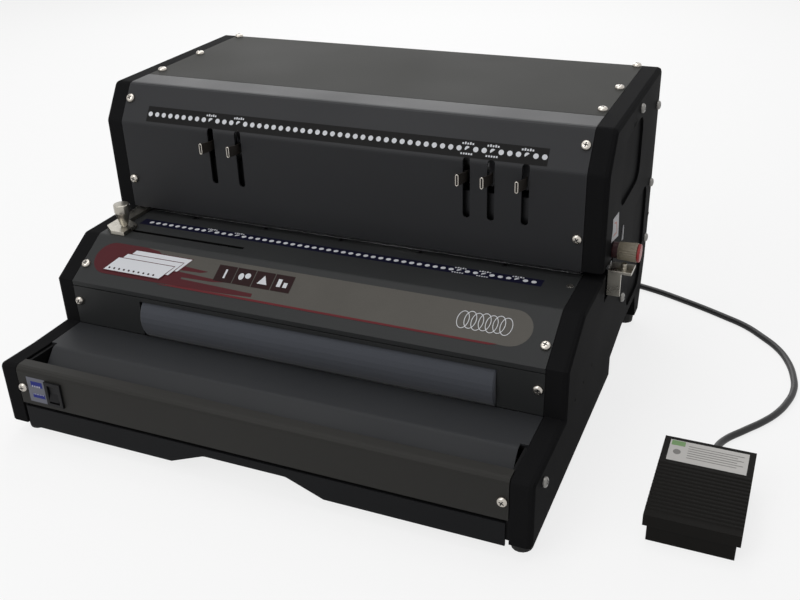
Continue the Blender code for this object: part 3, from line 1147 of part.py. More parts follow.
# Depth dial, its shaft with a cam, and the stop bar with its end bracket
DIAL_KNOB_GAP = 0.0045
DIAL_LENGTH = 0.0165
DIAL_INNER_RADIUS = 0.0068
DIAL_OUTER_RADIUS = 0.0076
DIAL_FLUTES = 18
DIAL_FLUTE_DEPTH = 0.0006
DIAL_CAP_LENGTH = 0.0025
CAM_RADIUS = 0.005
CAM_OFFSET = 0.0015
CAM_LENGTH = 0.005
CAM_GAP = 0.0098
CAM_X = FRAME_INNER_X - CAM_GAP
dial_axis = (DIAL_Y, DIAL_Z)
dial_pivot = (PANEL_OUTER_X, DIAL_Y, DIAL_Z)
dial_left = PANEL_OUTER_X + DIAL_KNOB_GAP
dial_right = dial_left + DIAL_LENGTH


def fluted(radius):
    """Outline with a crest and a groove for each flute."""
    corners = []
    for index in range(2 * DIAL_FLUTES):
        angle = math.pi * index / DIAL_FLUTES
        reach = radius - (index % 2) * DIAL_FLUTE_DEPTH
        corners.append((DIAL_Y + reach * math.cos(angle), DIAL_Z + reach * math.sin(angle)))
    return corners


depth_dial = add("depth_dial", loft(
    [[place("X", first, second, along_x) for first, second in fluted(radius)]
     for along_x, radius in ((dial_left, DIAL_INNER_RADIUS), (dial_right, DIAL_OUTER_RADIUS))]),
    BEIGE, dial_pivot)
shaft_end = dial_right - DIAL_LENGTH / 3
combine(depth_dial, rod("X", dial_axis, DIAL_SHAFT_RADIUS + SEAM, dial_left - OVERRUN,
                        shaft_end + SEAM, SMALL_SIDES))
add("dial_cap", turned([
    (dial_right + SEAM, DIAL_OUTER_RADIUS), (dial_right + DIAL_CAP_LENGTH / 2, DIAL_OUTER_RADIUS),
    (dial_right + DIAL_CAP_LENGTH, DIAL_OUTER_RADIUS - DIAL_CAP_LENGTH / 2)],
    "X", dial_axis), DIAL_RED, dial_pivot, smooth=True)
dial_shaft = add("dial_shaft", rod("X", dial_axis, DIAL_SHAFT_RADIUS, CAM_X - CAM_LENGTH,
                                   shaft_end, HIDDEN_SIDES), STEEL, dial_pivot, smooth=True)
combine(dial_shaft, rod("X", (DIAL_Y, DIAL_Z + CAM_OFFSET), CAM_RADIUS,
                        CAM_X - CAM_LENGTH / 2, CAM_X + CAM_LENGTH / 2), "UNION")

STOP_FRONT = 0.0075
STOP_REAR = 0.0165
STOP_HEIGHT = 0.0035
STOP_OUT = 0.0004
FORK_GAUGE = 0.002
FORK_PLAY = 0.0005
BRACKET_PLATE_LENGTH = 0.0168
BRACKET_PLATE_DEPTH = 0.0155
BRACKET_TAB_DROP = 0.018
BRACKET_TAB_LENGTH = 0.0095
BRACKET_PIN_RADIUS = 0.002
BRACKET_PIN_HEIGHT = 0.0035
BRACKET_LEAD = 0.0045
stop_low = DECK_HEIGHT + SEAM
stop_high = stop_low + STOP_HEIGHT
stop_front = PIN_ROW_Y + STOP_FRONT
stop_rear = PIN_ROW_Y + STOP_REAR
stop_end = PANEL_OUTER_X + STOP_OUT
stop_pivot = (CAM_X, DIAL_Y, stop_high)
stop_bar = add("stop_bar", block((-BAR_HALF_WIDTH, stop_end), (stop_front, stop_rear),
                                 (stop_low, stop_high)), STEEL, stop_pivot)
fork_front = DIAL_Y - CAM_RADIUS - FORK_PLAY
fork_rear = DIAL_Y + CAM_RADIUS + FORK_PLAY
fork_x = (CAM_X - CAM_LENGTH / 2, CAM_X + CAM_LENGTH / 2)
fork_low = stop_high - STOP_HEIGHT / 2
fork = prism([(fork_front - FORK_GAUGE, stop_low), (fork_rear + FORK_GAUGE, stop_low),
              (fork_rear + FORK_GAUGE, DIAL_Z), (fork_rear, DIAL_Z), (fork_rear, stop_high),
              (fork_front, stop_high), (fork_front, DIAL_Z), (fork_front - FORK_GAUGE, DIAL_Z)],
             "X", *fork_x)
combine(stop_bar, fork, "UNION")
bracket_left = stop_end + SEAM
bracket_right = bracket_left + BRACKET_PLATE_LENGTH
bracket_front = stop_front - BRACKET_LEAD
bracket_high = stop_low + LEVER_GAUGE
stop_bracket = add("stop_bracket", block(
    (bracket_left, bracket_right), (bracket_front, bracket_front + BRACKET_PLATE_DEPTH),
    (stop_low, bracket_high)), NICKEL, stop_pivot)
combine(stop_bracket, block(
    (bracket_left, bracket_left + BRACKET_TAB_LENGTH), (bracket_front, bracket_front + LEVER_GAUGE),
    (stop_low - BRACKET_TAB_DROP, bracket_high)), "UNION")
bracket_pin = ((bracket_left + bracket_right) / 2 + GAUGE, bracket_front + BRACKET_PLATE_DEPTH / 2)
combine(stop_bracket, rod("Z", bracket_pin, BRACKET_PIN_RADIUS, stop_low + SEAM,
                          bracket_high + BRACKET_PIN_HEIGHT, SMALL_SIDES), "UNION")

# Control board on the floor, mains inlet and pedal socket in the rear cover
BOARD_SIDE_MARGIN = 0.0223
BOARD_LEFT = BOARD_SIDE_MARGIN - COVER_HALF_WIDTH
BOARD_LENGTH = 0.110
BOARD_DEPTH = 0.090
BOARD_REAR_MARGIN = 0.036
BOARD_FRONT = BODY_DEPTH - BOARD_REAR_MARGIN - BOARD_DEPTH
BOARD_GAUGE = 0.0016
STANDOFF = 0.006
STANDOFF_RADIUS = 0.003
STANDOFF_INSET = 0.006
TRANSFORMER = (0.034, 0.038, 0.030)
board_low = FLOOR_TOP + SEAM + STANDOFF
board = add("control_board", block(
    (BOARD_LEFT, BOARD_LEFT + BOARD_LENGTH), (BOARD_FRONT, BOARD_FRONT + BOARD_DEPTH),
    (board_low, board_low + BOARD_GAUGE)), BOARD_GREEN)
posts = []
for x in (BOARD_LEFT + STANDOFF_INSET, BOARD_LEFT + BOARD_LENGTH - STANDOFF_INSET):
    for y in (BOARD_FRONT + STANDOFF_INSET, BOARD_FRONT + BOARD_DEPTH - STANDOFF_INSET):
        posts.append(rod("Z", (x, y), STANDOFF_RADIUS, FLOOR_TOP + SEAM,
                         board_low + BOARD_GAUGE / 2, SCREW_SIDES))
combine(board, merged(*posts), "UNION")
core = block(centred(BOARD_LEFT + BOARD_LENGTH / 3, TRANSFORMER[0]),
             centred(BOARD_FRONT + BOARD_DEPTH / 2, TRANSFORMER[1]),
             (board_low + BOARD_GAUGE / 2, board_low + TRANSFORMER[2]))
combine(board, core, "UNION")

INLET_MARGIN = 0.0623
INLET_X = INLET_MARGIN - COVER_HALF_WIDTH
INLET_Z = 0.095
INLET_WIDTH = 0.028
INLET_HEIGHT = 0.020
INLET_DEPTH = 0.018
INLET_FLANGE = 0.0025
INLET_FLANGE_MARGIN = 0.004
INLET_WALL = 0.0025
SOCKET_MARGIN = 0.0323
SOCKET_X = COVER_HALF_WIDTH - SOCKET_MARGIN
SOCKET_Z = 0.075
SOCKET_RADIUS = 0.0075
SOCKET_FLANGE_RADIUS = 0.0105
SOCKET_DEPTH = 0.014
SOCKET_BORE = 0.0045
rear_face = BODY_DEPTH + SEAM
combine(rear_cover, block(centred(INLET_X, INLET_WIDTH + 2 * SEAM),
                          (BODY_DEPTH - OVERRUN, BODY_DEPTH + OVERRUN),
                          centred(INLET_Z, INLET_HEIGHT + 2 * SEAM)))
combine(rear_cover, rod("Y", (SOCKET_X, SOCKET_Z), SOCKET_RADIUS + SEAM, BODY_DEPTH - OVERRUN,
                        BODY_DEPTH + OVERRUN, HIDDEN_SIDES))
mains_inlet = add("mains_inlet", block(
    centred(INLET_X, INLET_WIDTH + 2 * INLET_FLANGE_MARGIN), (rear_face, rear_face + INLET_FLANGE),
    centred(INLET_Z, INLET_HEIGHT + INLET_FLANGE_MARGIN)), BLACK_PLASTIC)
combine(mains_inlet, block(
    centred(INLET_X, INLET_WIDTH), (BODY_DEPTH - INLET_DEPTH, rear_face + INLET_FLANGE / 2),
    centred(INLET_Z, INLET_HEIGHT)), "UNION")
combine(mains_inlet, block(
    centred(INLET_X, INLET_WIDTH - 2 * INLET_WALL),
    (BODY_DEPTH - INLET_DEPTH + INLET_WALL, rear_face + INLET_FLANGE + OVERRUN),
    centred(INLET_Z, INLET_HEIGHT - 2 * INLET_WALL)))
blades = [block(centred(INLET_X + shift * INLET_WIDTH / 4, INLET_WALL),
                (BODY_DEPTH - INLET_DEPTH + INLET_WALL / 2, BODY_DEPTH - INLET_WALL),
                centred(INLET_Z + lift * INLET_HEIGHT / 8, INLET_HEIGHT / 4))
          for shift, lift in ((-1, -1), (0, 1), (1, -1))]
combine(mains_inlet, merged(*blades), "UNION")

socket_axis = (SOCKET_X, SOCKET_Z)
socket_back = BODY_DEPTH - SOCKET_DEPTH
add("pedal_socket", turned([
    (rear_face + INLET_FLANGE, SOCKET_BORE), (rear_face + INLET_FLANGE, SOCKET_FLANGE_RADIUS),
    (rear_face, SOCKET_FLANGE_RADIUS), (rear_face, SOCKET_RADIUS), (socket_back, SOCKET_RADIUS),
    (socket_back, SOCKET_BORE)], "Y", socket_axis, HIDDEN_SIDES, closed=True),
    BLACK_PLASTIC, smooth=True)

PLUG_RADIUS = 0.0075
PLUG_LENGTH = 0.026
PLUG_NOSE_RADIUS = SOCKET_BORE - RUNNING_FIT
PLUG_NOSE = 0.010
PLUG_TAIL = 0.010
PLUG_TAIL_RADIUS = 0.0036
PLUG_GRIP_SHARE = 0.8
PLUG_NECK_SHARE = 1.3
plug_face = rear_face + INLET_FLANGE + SEAM
plug_end = plug_face + PLUG_LENGTH + PLUG_TAIL
add("pedal_plug", turned([
    (plug_face - PLUG_NOSE, PLUG_NOSE_RADIUS), (plug_face, PLUG_NOSE_RADIUS),
    (plug_face, PLUG_RADIUS), (plug_face + PLUG_LENGTH * PLUG_GRIP_SHARE, PLUG_RADIUS),
    (plug_face + PLUG_LENGTH, PLUG_TAIL_RADIUS * PLUG_NECK_SHARE), (plug_end, PLUG_TAIL_RADIUS)],
    "Y", socket_axis, HIDDEN_SIDES), BLACK_PLASTIC, smooth=True)

# Foot pedal beside the machine
PEDAL_CENTRE_X = 0.298
PEDAL_FRONT_Y = 0.0463
PEDAL_WIDTH = 0.061
PEDAL_LENGTH = 0.081
TREADLE_LIP_BOTTOM = 0.0140
TREADLE_FRONT_TOP = 0.0225
TREADLE_REAR_TOP = 0.0300
TREADLE_GAUGE = 0.0018
TREADLE_SKIRT = 0.0120
RIB_COUNT = 14
RIB_HEIGHT = 0.0007
RIB_START_SHARE = 0.07
RIB_END_SHARE = 0.68
RIB_PROFILE_SHARES = ((0, 0), (0.25, 1), (0.6, 1), (0.85, 0))
SKIRT_LENGTH_SHARE = 0.3
BASE_INSET = 0.0026
BASE_FRONT_INSET = 0.0033
BASE_FLOOR = 0.0022
BASE_WALL = 0.0016
BASE_FRONT_HEIGHT = 0.0135
BASE_REAR_HEIGHT = 0.0255
HINGE_Y_INSET = 0.0063
HINGE_Z = 0.0222
HINGE_RADIUS = 0.0015
PEDAL_TRAVEL = math.radians(4.5)

treadle_left = PEDAL_CENTRE_X - PEDAL_WIDTH / 2
treadle_right = PEDAL_CENTRE_X + PEDAL_WIDTH / 2
treadle_rear = PEDAL_FRONT_Y + PEDAL_LENGTH
hinge_y = treadle_rear - HINGE_Y_INSET
hinge_axis = (hinge_y, HINGE_Z)
hinge_pivot = (PEDAL_CENTRE_X, hinge_y, HINGE_Z)


def treadle_height(y):
    """Height of the treadle's smooth top at a depth."""
    return between(TREADLE_FRONT_TOP, TREADLE_REAR_TOP, (y - PEDAL_FRONT_Y) / PEDAL_LENGTH)


ribs = []
for index in range(RIB_COUNT):
    for step, lift in RIB_PROFILE_SHARES:
        share = between(RIB_START_SHARE, RIB_END_SHARE, (index + step) / RIB_COUNT)
        y = PEDAL_FRONT_Y + share * PEDAL_LENGTH
        ribs.append((y, treadle_height(y) + lift * RIB_HEIGHT))
treadle_outline = (
    [(PEDAL_FRONT_Y, TREADLE_LIP_BOTTOM), (PEDAL_FRONT_Y, TREADLE_FRONT_TOP)] + ribs
    + [(treadle_rear, TREADLE_REAR_TOP), (treadle_rear, TREADLE_REAR_TOP - TREADLE_SKIRT),
       (treadle_rear - PEDAL_LENGTH * SKIRT_LENGTH_SHARE, TREADLE_REAR_TOP - TREADLE_SKIRT)])
treadle = add("pedal_treadle", prism(treadle_outline, "X", treadle_left, treadle_right),
              BLACK_SATIN, hinge_pivot)
inner_front = PEDAL_FRONT_Y + TREADLE_GAUGE
hollow = prism([(inner_front, TREADLE_LIP_BOTTOM - 2 * OVERRUN),
                (inner_front, TREADLE_FRONT_TOP - TREADLE_GAUGE),
                (treadle_rear + OVERRUN, treadle_height(treadle_rear + OVERRUN) - TREADLE_GAUGE),
                (treadle_rear + OVERRUN, TREADLE_LIP_BOTTOM - 2 * OVERRUN)], "X",
               treadle_left + TREADLE_GAUGE, treadle_right - TREADLE_GAUGE)
combine(treadle, hollow)
combine(treadle, rod("X", hinge_axis, HINGE_RADIUS + RUNNING_FIT, treadle_left - OVERRUN,
                     treadle_right + OVERRUN, SMALL_SIDES))

base_left = treadle_left + BASE_INSET
base_right = treadle_right - BASE_INSET
base_front = PEDAL_FRONT_Y + BASE_FRONT_INSET
pedal_base = add("pedal_base", prism(
    [(base_front, 0), (treadle_rear, 0), (treadle_rear, BASE_REAR_HEIGHT),
     (base_front, BASE_FRONT_HEIGHT)], "X", base_left, base_right), BLACK_SATIN)
combine(pedal_base, block((base_left + BASE_WALL, base_right - BASE_WALL),
                          (base_front + BASE_WALL, treadle_rear - BASE_WALL),
                          (BASE_FLOOR, BASE_REAR_HEIGHT + OVERRUN)))
GROMMET_Z = 0.0085
GROMMET_RADIUS = 0.0042
GROMMET_FLANGE_RADIUS = 0.0056
GROMMET_LENGTH = 0.008
GROMMET_X = 0.2995
GROMMET_TIP_SHARE = 0.9
GROMMET_SIDES = 16
combine(pedal_base, rod("Y", (GROMMET_X, GROMMET_Z), GROMMET_RADIUS + SEAM,
                        treadle_rear - OVERRUN, treadle_rear + OVERRUN, GROMMET_SIDES))
combine(pedal_base, rod("X", hinge_axis, HINGE_RADIUS + SEAM, base_left - OVERRUN,
                        base_right + OVERRUN, SMALL_SIDES))
add("pedal_hinge_pin", rod("X", hinge_axis, HINGE_RADIUS, treadle_left + SEAM,
                           treadle_right - SEAM, SMALL_SIDES), STEEL, hinge_pivot, smooth=True)
grommet_end = treadle_rear + GROMMET_LENGTH
add("pedal_grommet", turned([
    (treadle_rear - BASE_WALL - SEAM, GROMMET_RADIUS), (treadle_rear + SEAM, GROMMET_RADIUS),
    (treadle_rear + SEAM, GROMMET_FLANGE_RADIUS),
    (treadle_rear + GROMMET_LENGTH / 4, GROMMET_FLANGE_RADIUS),
    (grommet_end, GROMMET_RADIUS * GROMMET_TIP_SHARE)],
    "Y", (GROMMET_X, GROMMET_Z), GROMMET_SIDES), RUBBER, smooth=True)

SWITCH_BLOCK = (0.020, 0.0064, 0.0100)
PLUNGER_RADIUS = 0.0028
PLUNGER_GAP = 0.0026
PEDAL_SWITCH_SHARE = 0.66
switch_y = between(PEDAL_FRONT_Y, hinge_y, PEDAL_SWITCH_SHARE)
switch_top = BASE_FLOOR + SEAM + SWITCH_BLOCK[2]
add("pedal_switch", block(centred(PEDAL_CENTRE_X, SWITCH_BLOCK[0]),
                          centred(switch_y, SWITCH_BLOCK[1]),
                          (BASE_FLOOR + SEAM, switch_top)), BLACK_PLASTIC)
combine(treadle, rod("Z", (PEDAL_CENTRE_X, switch_y), PLUNGER_RADIUS, switch_top + PLUNGER_GAP,
                     treadle_height(switch_y) - TREADLE_GAUGE / 2, SMALL_SIDES), "UNION")

# Treadle spring: a coil standing on the base floor
SPRING_RADIUS = 0.005
SPRING_WIRE = 0.0006
SPRING_TURNS = 5
SPRING_STEPS = 10
SPRING_PLACE_SHARE = 0.30
spring_y = between(PEDAL_FRONT_Y, hinge_y, SPRING_PLACE_SHARE)


def cord_object(name, points, radius, resolution, look, pivot=(0, 0, 0)):
    """Round tube along a list of points, with closed ends."""
    data = bpy.data.curves.new(name, "CURVE")
    data.dimensions = "3D"
    data.bevel_depth = radius
    data.bevel_resolution = resolution
    data.use_fill_caps = True
    line = data.splines.new("POLY")
    line.points.add(len(points) - 1)
    for knot, spot in zip(line.points, points):
        knot.co = (*(Vector(spot) - Vector(pivot)), 1.0)
    thing = bpy.data.objects.new(name, data)
    thing.parent = machine
    thing.location = pivot
    bpy.context.collection.objects.link(thing)
    colour, roughness, metallic = look
    finish = bpy.data.materials.new(name)
    finish.use_nodes = True
    surface = finish.node_tree.nodes["Principled BSDF"]
    surface.inputs["Base Color"].default_value = (*colour, 1.0)
    surface.inputs["Roughness"].default_value = roughness
    surface.inputs["Metallic"].default_value = metallic
    data.materials.append(finish)
    return thing


spring_low = BASE_FLOOR + SEAM + 2 * SPRING_WIRE
spring_high = (treadle_height(spring_y - SPRING_RADIUS) - TREADLE_GAUGE - 2 * SPRING_WIRE
               - 2 * SEAM)
spring_points = []
for step in range(SPRING_TURNS * SPRING_STEPS + 1):
    share = step / (SPRING_TURNS * SPRING_STEPS)
    angle = 2 * math.pi * SPRING_TURNS * share
    spring_points.append((PEDAL_CENTRE_X + SPRING_RADIUS * math.cos(angle),
                          spring_y + SPRING_RADIUS * math.sin(angle),
                          between(spring_low, spring_high, share)))
cord_object("pedal_spring", spring_points, SPRING_WIRE, 1, STEEL)

# Pedal lead: the stretch seen beside the machine, the coil behind it and the stretch to the plug
CORD_RADIUS = CORD_DIAMETER / 2
CORD_LIFT = 0.0001
CORD_REST = CORD_RADIUS + CORD_LIFT
COIL_CENTRE_X = 0.105
COIL_CENTRE_Y = 0.450
COIL_STEPS = 24
FINE_STEPS = 20
CORD_SPACING = 0.013
coil_mid = COIL_MID_DIAMETERS * CORD_DIAMETER
coil_outer = coil_mid + COIL_PITCH * COIL_TURNS / 2
coil_inner = coil_mid - COIL_PITCH * COIL_TURNS / 2


def coil_points():
    """Two layers: in for some turns, up in a half turn where the spiral reverses, and out."""
    half_climb = COIL_STEPS // 4
    turn_steps = COIL_TURNS * COIL_STEPS
    total = 2 * turn_steps + 2 * half_climb
    points = []
    for step in range(total + 1):
        angle = -math.pi / 2 - 2 * math.pi * step / COIL_STEPS
        from_middle = abs(step - total / 2)
        radius = coil_inner + COIL_PITCH * (from_middle - half_climb) / COIL_STEPS
        climb = min(max((step - turn_steps) / (2 * half_climb), 0), 1)
        points.append(Vector((COIL_CENTRE_X + radius * math.cos(angle),
                              COIL_CENTRE_Y + radius * math.sin(angle),
                              CORD_REST + COIL_PITCH * climb)))
    start_run = Vector((CORD_DIAMETER, 0, 0))
    return [points[0] + start_run] + points + [points[-1] + start_run]


def least_gap(points):
    """Least clear distance between turns, measured on points at least half a turn apart."""
    apart = COIL_STEPS // 2
    least = min((points[one] - points[two]).length
                for one in range(len(points)) for two in range(one + apart, len(points)))
    return least - CORD_DIAMETER


def smooth_route(knots, spacing):
    """Points on a Catmull-Rom curve through the knots, its first and last stretch straight."""
    knots = [Vector(knot) for knot in knots]
    fine = []
    for index in range(1, len(knots) - 2):
        before, here, there, after = knots[index - 1:index + 3]
        for step in range(FINE_STEPS):
            t = step / FINE_STEPS
            fine.append(0.5 * (2 * here + (there - before) * t
                               + (2 * before - 5 * here + 4 * there - after) * t * t
                               + (3 * here - before - 3 * there + after) * t * t * t))
    fine.append(knots[-2])
    for spot in fine:
        spot.z = max(spot.z, CORD_REST)
    lengths = [0.0]
    for one, two in zip(fine, fine[1:]):
        lengths.append(lengths[-1] + (two - one).length)
    count = max(int(round(lengths[-1] / spacing)), 2)
    route = [knots[0]]
    index = 0
    for step in range(count + 1):
        target = lengths[-1] * step / count
        while index < len(lengths) - 2 and lengths[index + 1] < target:
            index += 1
        span = lengths[index + 1] - lengths[index]
        share = (target - lengths[index]) / span if span else 0.0
        route.append(fine[index].lerp(fine[index + 1], min(max(share, 0.0), 1.0)))
    return route + [knots[-1]]


coil = coil_points()
print("least gap in the coil: %.2f mm" % (least_gap(coil) * 1000))
cord_object("cord_coil", coil, CORD_RADIUS, 1, CORD_BLACK)

run = CORD_DIAMETER
grommet_face = Vector((GROMMET_X, grommet_end + SEAM, GROMMET_Z))
coil_start = coil[0] + Vector((SEAM, 0, 0))
PEDAL_ROUTE = [
    (0.2999, 0.1560, 0.0048),
    (0.3040, 0.1740, 0.0028),
    (0.3172, 0.1931, 0.0028),
    (0.3284, 0.2085, 0.0028),
    (0.3369, 0.2233, 0.0028),
    (0.3432, 0.2405, 0.0028),
    (0.3472, 0.2621, 0.0028),
    (0.3461, 0.2810, 0.0028),
    (0.3388, 0.3088, 0.0028),
    (0.3293, 0.3268, 0.0028),
    (0.3172, 0.3409, 0.0028),
    (0.3012, 0.3562, 0.0028),
    (0.2824, 0.3673, 0.0028),
    (0.2436, 0.3865, 0.0028),
    (0.2067, 0.4010, 0.0028),
    (0.1700, 0.4085, 0.0028),
    (0.1350, 0.4105, 0.0028),
]
pedal_knots = ([grommet_face, grommet_face + Vector((0, run, 0))] + PEDAL_ROUTE
               + [coil_start + Vector((run, 0, 0)), coil_start])
cord_object("pedal_cord", smooth_route(pedal_knots, CORD_SPACING), CORD_RADIUS, 2, CORD_BLACK)

coil_finish = coil[-1] + Vector((SEAM, 0, 0))
plug_tail = Vector((SOCKET_X, plug_end + SEAM, SOCKET_Z))
SOCKET_ROUTE = [
    (0.1400, 0.4860, 0.0110),
    (0.1570, 0.4760, 0.0200),
    (0.1640, 0.4590, 0.0350),
    (0.1625, 0.4400, 0.0550),
    (0.1600, 0.4220, 0.0690),
]
socket_knots = ([coil_finish, coil_finish + Vector((run, 0, 0))] + SOCKET_ROUTE
                + [plug_tail + Vector((0, run, 0)), plug_tail])
cord_object("socket_cord", smooth_route(socket_knots, CORD_SPACING), CORD_RADIUS, 2, CORD_BLACK)

# The part's origin: the middle of everything that stands on the table, at table level
machine.location = (-(treadle_right - PANEL_OUTER_X) / 2, -BODY_DEPTH / 2, 0)
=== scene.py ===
"""Looks of an electric coil binding machine with a foot pedal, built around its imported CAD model.

Lengths are in metres. The row frame's origin is in the middle of everything that stands on the
table. Places on the machine are measured from the middle of its front at table level, as in the
part's source, and at() turns them into the row frame.
"""
import math

import bpy
from mathutils import Matrix, Vector


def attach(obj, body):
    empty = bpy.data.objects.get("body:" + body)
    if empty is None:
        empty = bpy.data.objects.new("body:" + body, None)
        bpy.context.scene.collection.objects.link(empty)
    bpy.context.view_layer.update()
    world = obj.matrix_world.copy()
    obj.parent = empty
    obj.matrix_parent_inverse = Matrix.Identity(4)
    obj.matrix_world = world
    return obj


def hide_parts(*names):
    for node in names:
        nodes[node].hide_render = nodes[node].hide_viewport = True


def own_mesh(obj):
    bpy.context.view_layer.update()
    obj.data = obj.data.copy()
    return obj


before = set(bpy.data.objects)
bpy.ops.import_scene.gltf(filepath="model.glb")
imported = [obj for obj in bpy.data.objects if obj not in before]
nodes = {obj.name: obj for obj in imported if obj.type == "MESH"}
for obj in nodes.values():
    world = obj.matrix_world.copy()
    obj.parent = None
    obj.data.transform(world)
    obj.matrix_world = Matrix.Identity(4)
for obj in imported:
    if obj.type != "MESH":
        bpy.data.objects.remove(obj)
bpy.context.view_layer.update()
bpy.ops.object.select_all(action="DESELECT")

# ---------------------------------------------------------------- inner frame and floor
# Two pressed steel side plates with rims, joined by the floor plate over the chip drawer. The
# side plates are coloured near-black, painted shade for the dark inside seen through the
# gaps; the floor is zinc-plated and has the lugs of the roller's shaft.
ZINC = (0.42, 0.42, 0.40)
INSIDE_SHADE_BLACK = (0.007, 0.007, 0.0075)


def finish(name, colour, roughness, metallic=0.0, grain=2200.0, relief=0.00002, shift=0.10,
           edge=0.0004, cloud=9.0, specular=0.5, sweep=0.05):
    """Procedural finish: grain in colour and relief, slow mottling in gloss, softened edges."""
    made = bpy.data.materials.new(name)
    made.use_nodes = True
    tree = made.node_tree
    surface = tree.nodes["Principled BSDF"]
    surface.inputs["Metallic"].default_value = metallic
    surface.inputs["Specular IOR Level"].default_value = specular
    place = tree.nodes.new("ShaderNodeTexCoord")
    fine = tree.nodes.new("ShaderNodeTexNoise")
    fine.inputs["Scale"].default_value = grain
    fine.inputs["Detail"].default_value = 2.0
    slow = tree.nodes.new("ShaderNodeTexNoise")
    slow.inputs["Scale"].default_value = cloud
    slow.inputs["Detail"].default_value = 4.0
    share = tree.nodes.new("ShaderNodeMath")
    share.operation = "MULTIPLY_ADD"
    share.inputs[1].default_value = 0.35
    tone = tree.nodes.new("ShaderNodeMix")
    tone.data_type = "RGBA"
    tone.inputs["A"].default_value = (*[part * (1 - shift) for part in colour], 1.0)
    tone.inputs["B"].default_value = (*[min(part * (1 + shift), 1.0) for part in colour], 1.0)
    gloss = tree.nodes.new("ShaderNodeMapRange")
    gloss.inputs["From Min"].default_value = 0.3
    gloss.inputs["From Max"].default_value = 0.7
    gloss.inputs["To Min"].default_value = max(roughness - sweep, 0.05)
    gloss.inputs["To Max"].default_value = min(roughness + sweep, 1.0)
    bump = tree.nodes.new("ShaderNodeBump")
    bump.inputs["Strength"].default_value = 0.6
    bump.inputs["Distance"].default_value = relief
    tree.links.new(place.outputs["Object"], fine.inputs["Vector"])
    tree.links.new(place.outputs["Object"], slow.inputs["Vector"])
    tree.links.new(fine.outputs["Fac"], share.inputs[0])
    tree.links.new(slow.outputs["Fac"], share.inputs[2])
    tree.links.new(share.outputs["Value"], tone.inputs["Factor"])
    tree.links.new(tone.outputs["Result"], surface.inputs["Base Color"])
    tree.links.new(slow.outputs["Fac"], gloss.inputs["Value"])
    tree.links.new(gloss.outputs["Result"], surface.inputs["Roughness"])
    tree.links.new(fine.outputs["Fac"], bump.inputs["Height"])
    if edge > 0:
        soft = tree.nodes.new("ShaderNodeBevel")
        soft.samples = 4
        soft.inputs["Radius"].default_value = edge
        tree.links.new(soft.outputs["Normal"], bump.inputs["Normal"])
    tree.links.new(bump.outputs["Normal"], surface.inputs["Normal"])
    return made


def coat_nodes(material, *names):
    """Gives CAD nodes a finish in their own material slots."""
    for name in names:
        for place in nodes[name].material_slots:
            place.material = material


coat_nodes(finish("zinc_plate_finish", ZINC, 0.42, metallic=1.0, grain=420.0, cloud=60.0,
                  shift=0.16), "floor_plate")
# The side plates' near-black is painted shade for the housing's dark inside.
coat_nodes(finish("frame_painted_shade_black", INSIDE_SHADE_BLACK, 0.60, grain=700.0, specular=0.08),
           "left_frame_plate", "right_frame_plate")

# ---------------------------------------------------------------- punch unit
# Ground steel die and pin guide, 53 pins in a bar, and two yokes round the eccentrics of the
# drive shaft, which runs in a bronze bush and is driven by a gear motor on the right.
ground_steel = finish("ground_steel", (0.36, 0.36, 0.37), 0.32, metallic=1.0, grain=900.0,
                      shift=0.12)
coat_nodes(ground_steel, "die_plate", "pin_guide", "left_yoke", "right_yoke", "drive_shaft",
           "stop_bar", "dial_shaft", "roller_shaft", "motor_pulley", "guide_nut")
blackened = finish("blackened_steel", (0.022, 0.022, 0.024), 0.40, metallic=0.8, grain=900.0)
coat_nodes(blackened, "punch_bar")
coat_nodes(finish("sintered_bronze", (0.40, 0.26, 0.12), 0.45, metallic=1.0, grain=1600.0),
           "shaft_bush")
coat_nodes(finish("motor_paint", (0.13, 0.13, 0.14), 0.45, metallic=0.4, grain=1200.0),
           "gearbox", "punch_motor", "inserter_motor")

# ---------------------------------------------------------------- coil inserter
# A driven roller lies open in the window of the middle panel and spins the coil through the
# sheets. Closed-cell foam ground to size on a steel shaft, with a toothed belt and pulleys.
FOAM_COLOUR = (0.062, 0.067, 0.080)
PORE_SCALE = 1400.0
foam = finish("roller_foam", FOAM_COLOUR, 0.85, grain=700.0, relief=0.00006, shift=0.16,
              edge=0.0006, specular=0.3)
foam_tree = foam.node_tree
pores = foam_tree.nodes.new("ShaderNodeTexVoronoi")
pores.inputs["Scale"].default_value = PORE_SCALE
foam_tree.links.new(foam_tree.nodes["Texture Coordinate"].outputs["Object"],
                    pores.inputs["Vector"])
foam_tree.links.new(pores.outputs["Distance"], foam_tree.nodes["Bump"].inputs["Height"])
foam_tree.nodes["Principled BSDF"].inputs["Sheen Weight"].default_value = 0.15
coat_nodes(foam, "inserter_roller")
moulded = finish("moulded_black", (0.010, 0.010, 0.011), 0.42, grain=1400.0, relief=0.00001,
                 specular=0.12)
coat_nodes(moulded, "roller_pulley", "mains_inlet", "pedal_socket", "pedal_plug", "pedal_switch")
rubber = finish("black_rubber", (0.013, 0.013, 0.013), 0.70, grain=1700.0, specular=0.25)
coat_nodes(rubber, "drive_belt")
coat_nodes(finish("board_laminate", (0.02, 0.12, 0.05), 0.45, grain=700.0, cloud=45.0, shift=0.3),
           "control_board")
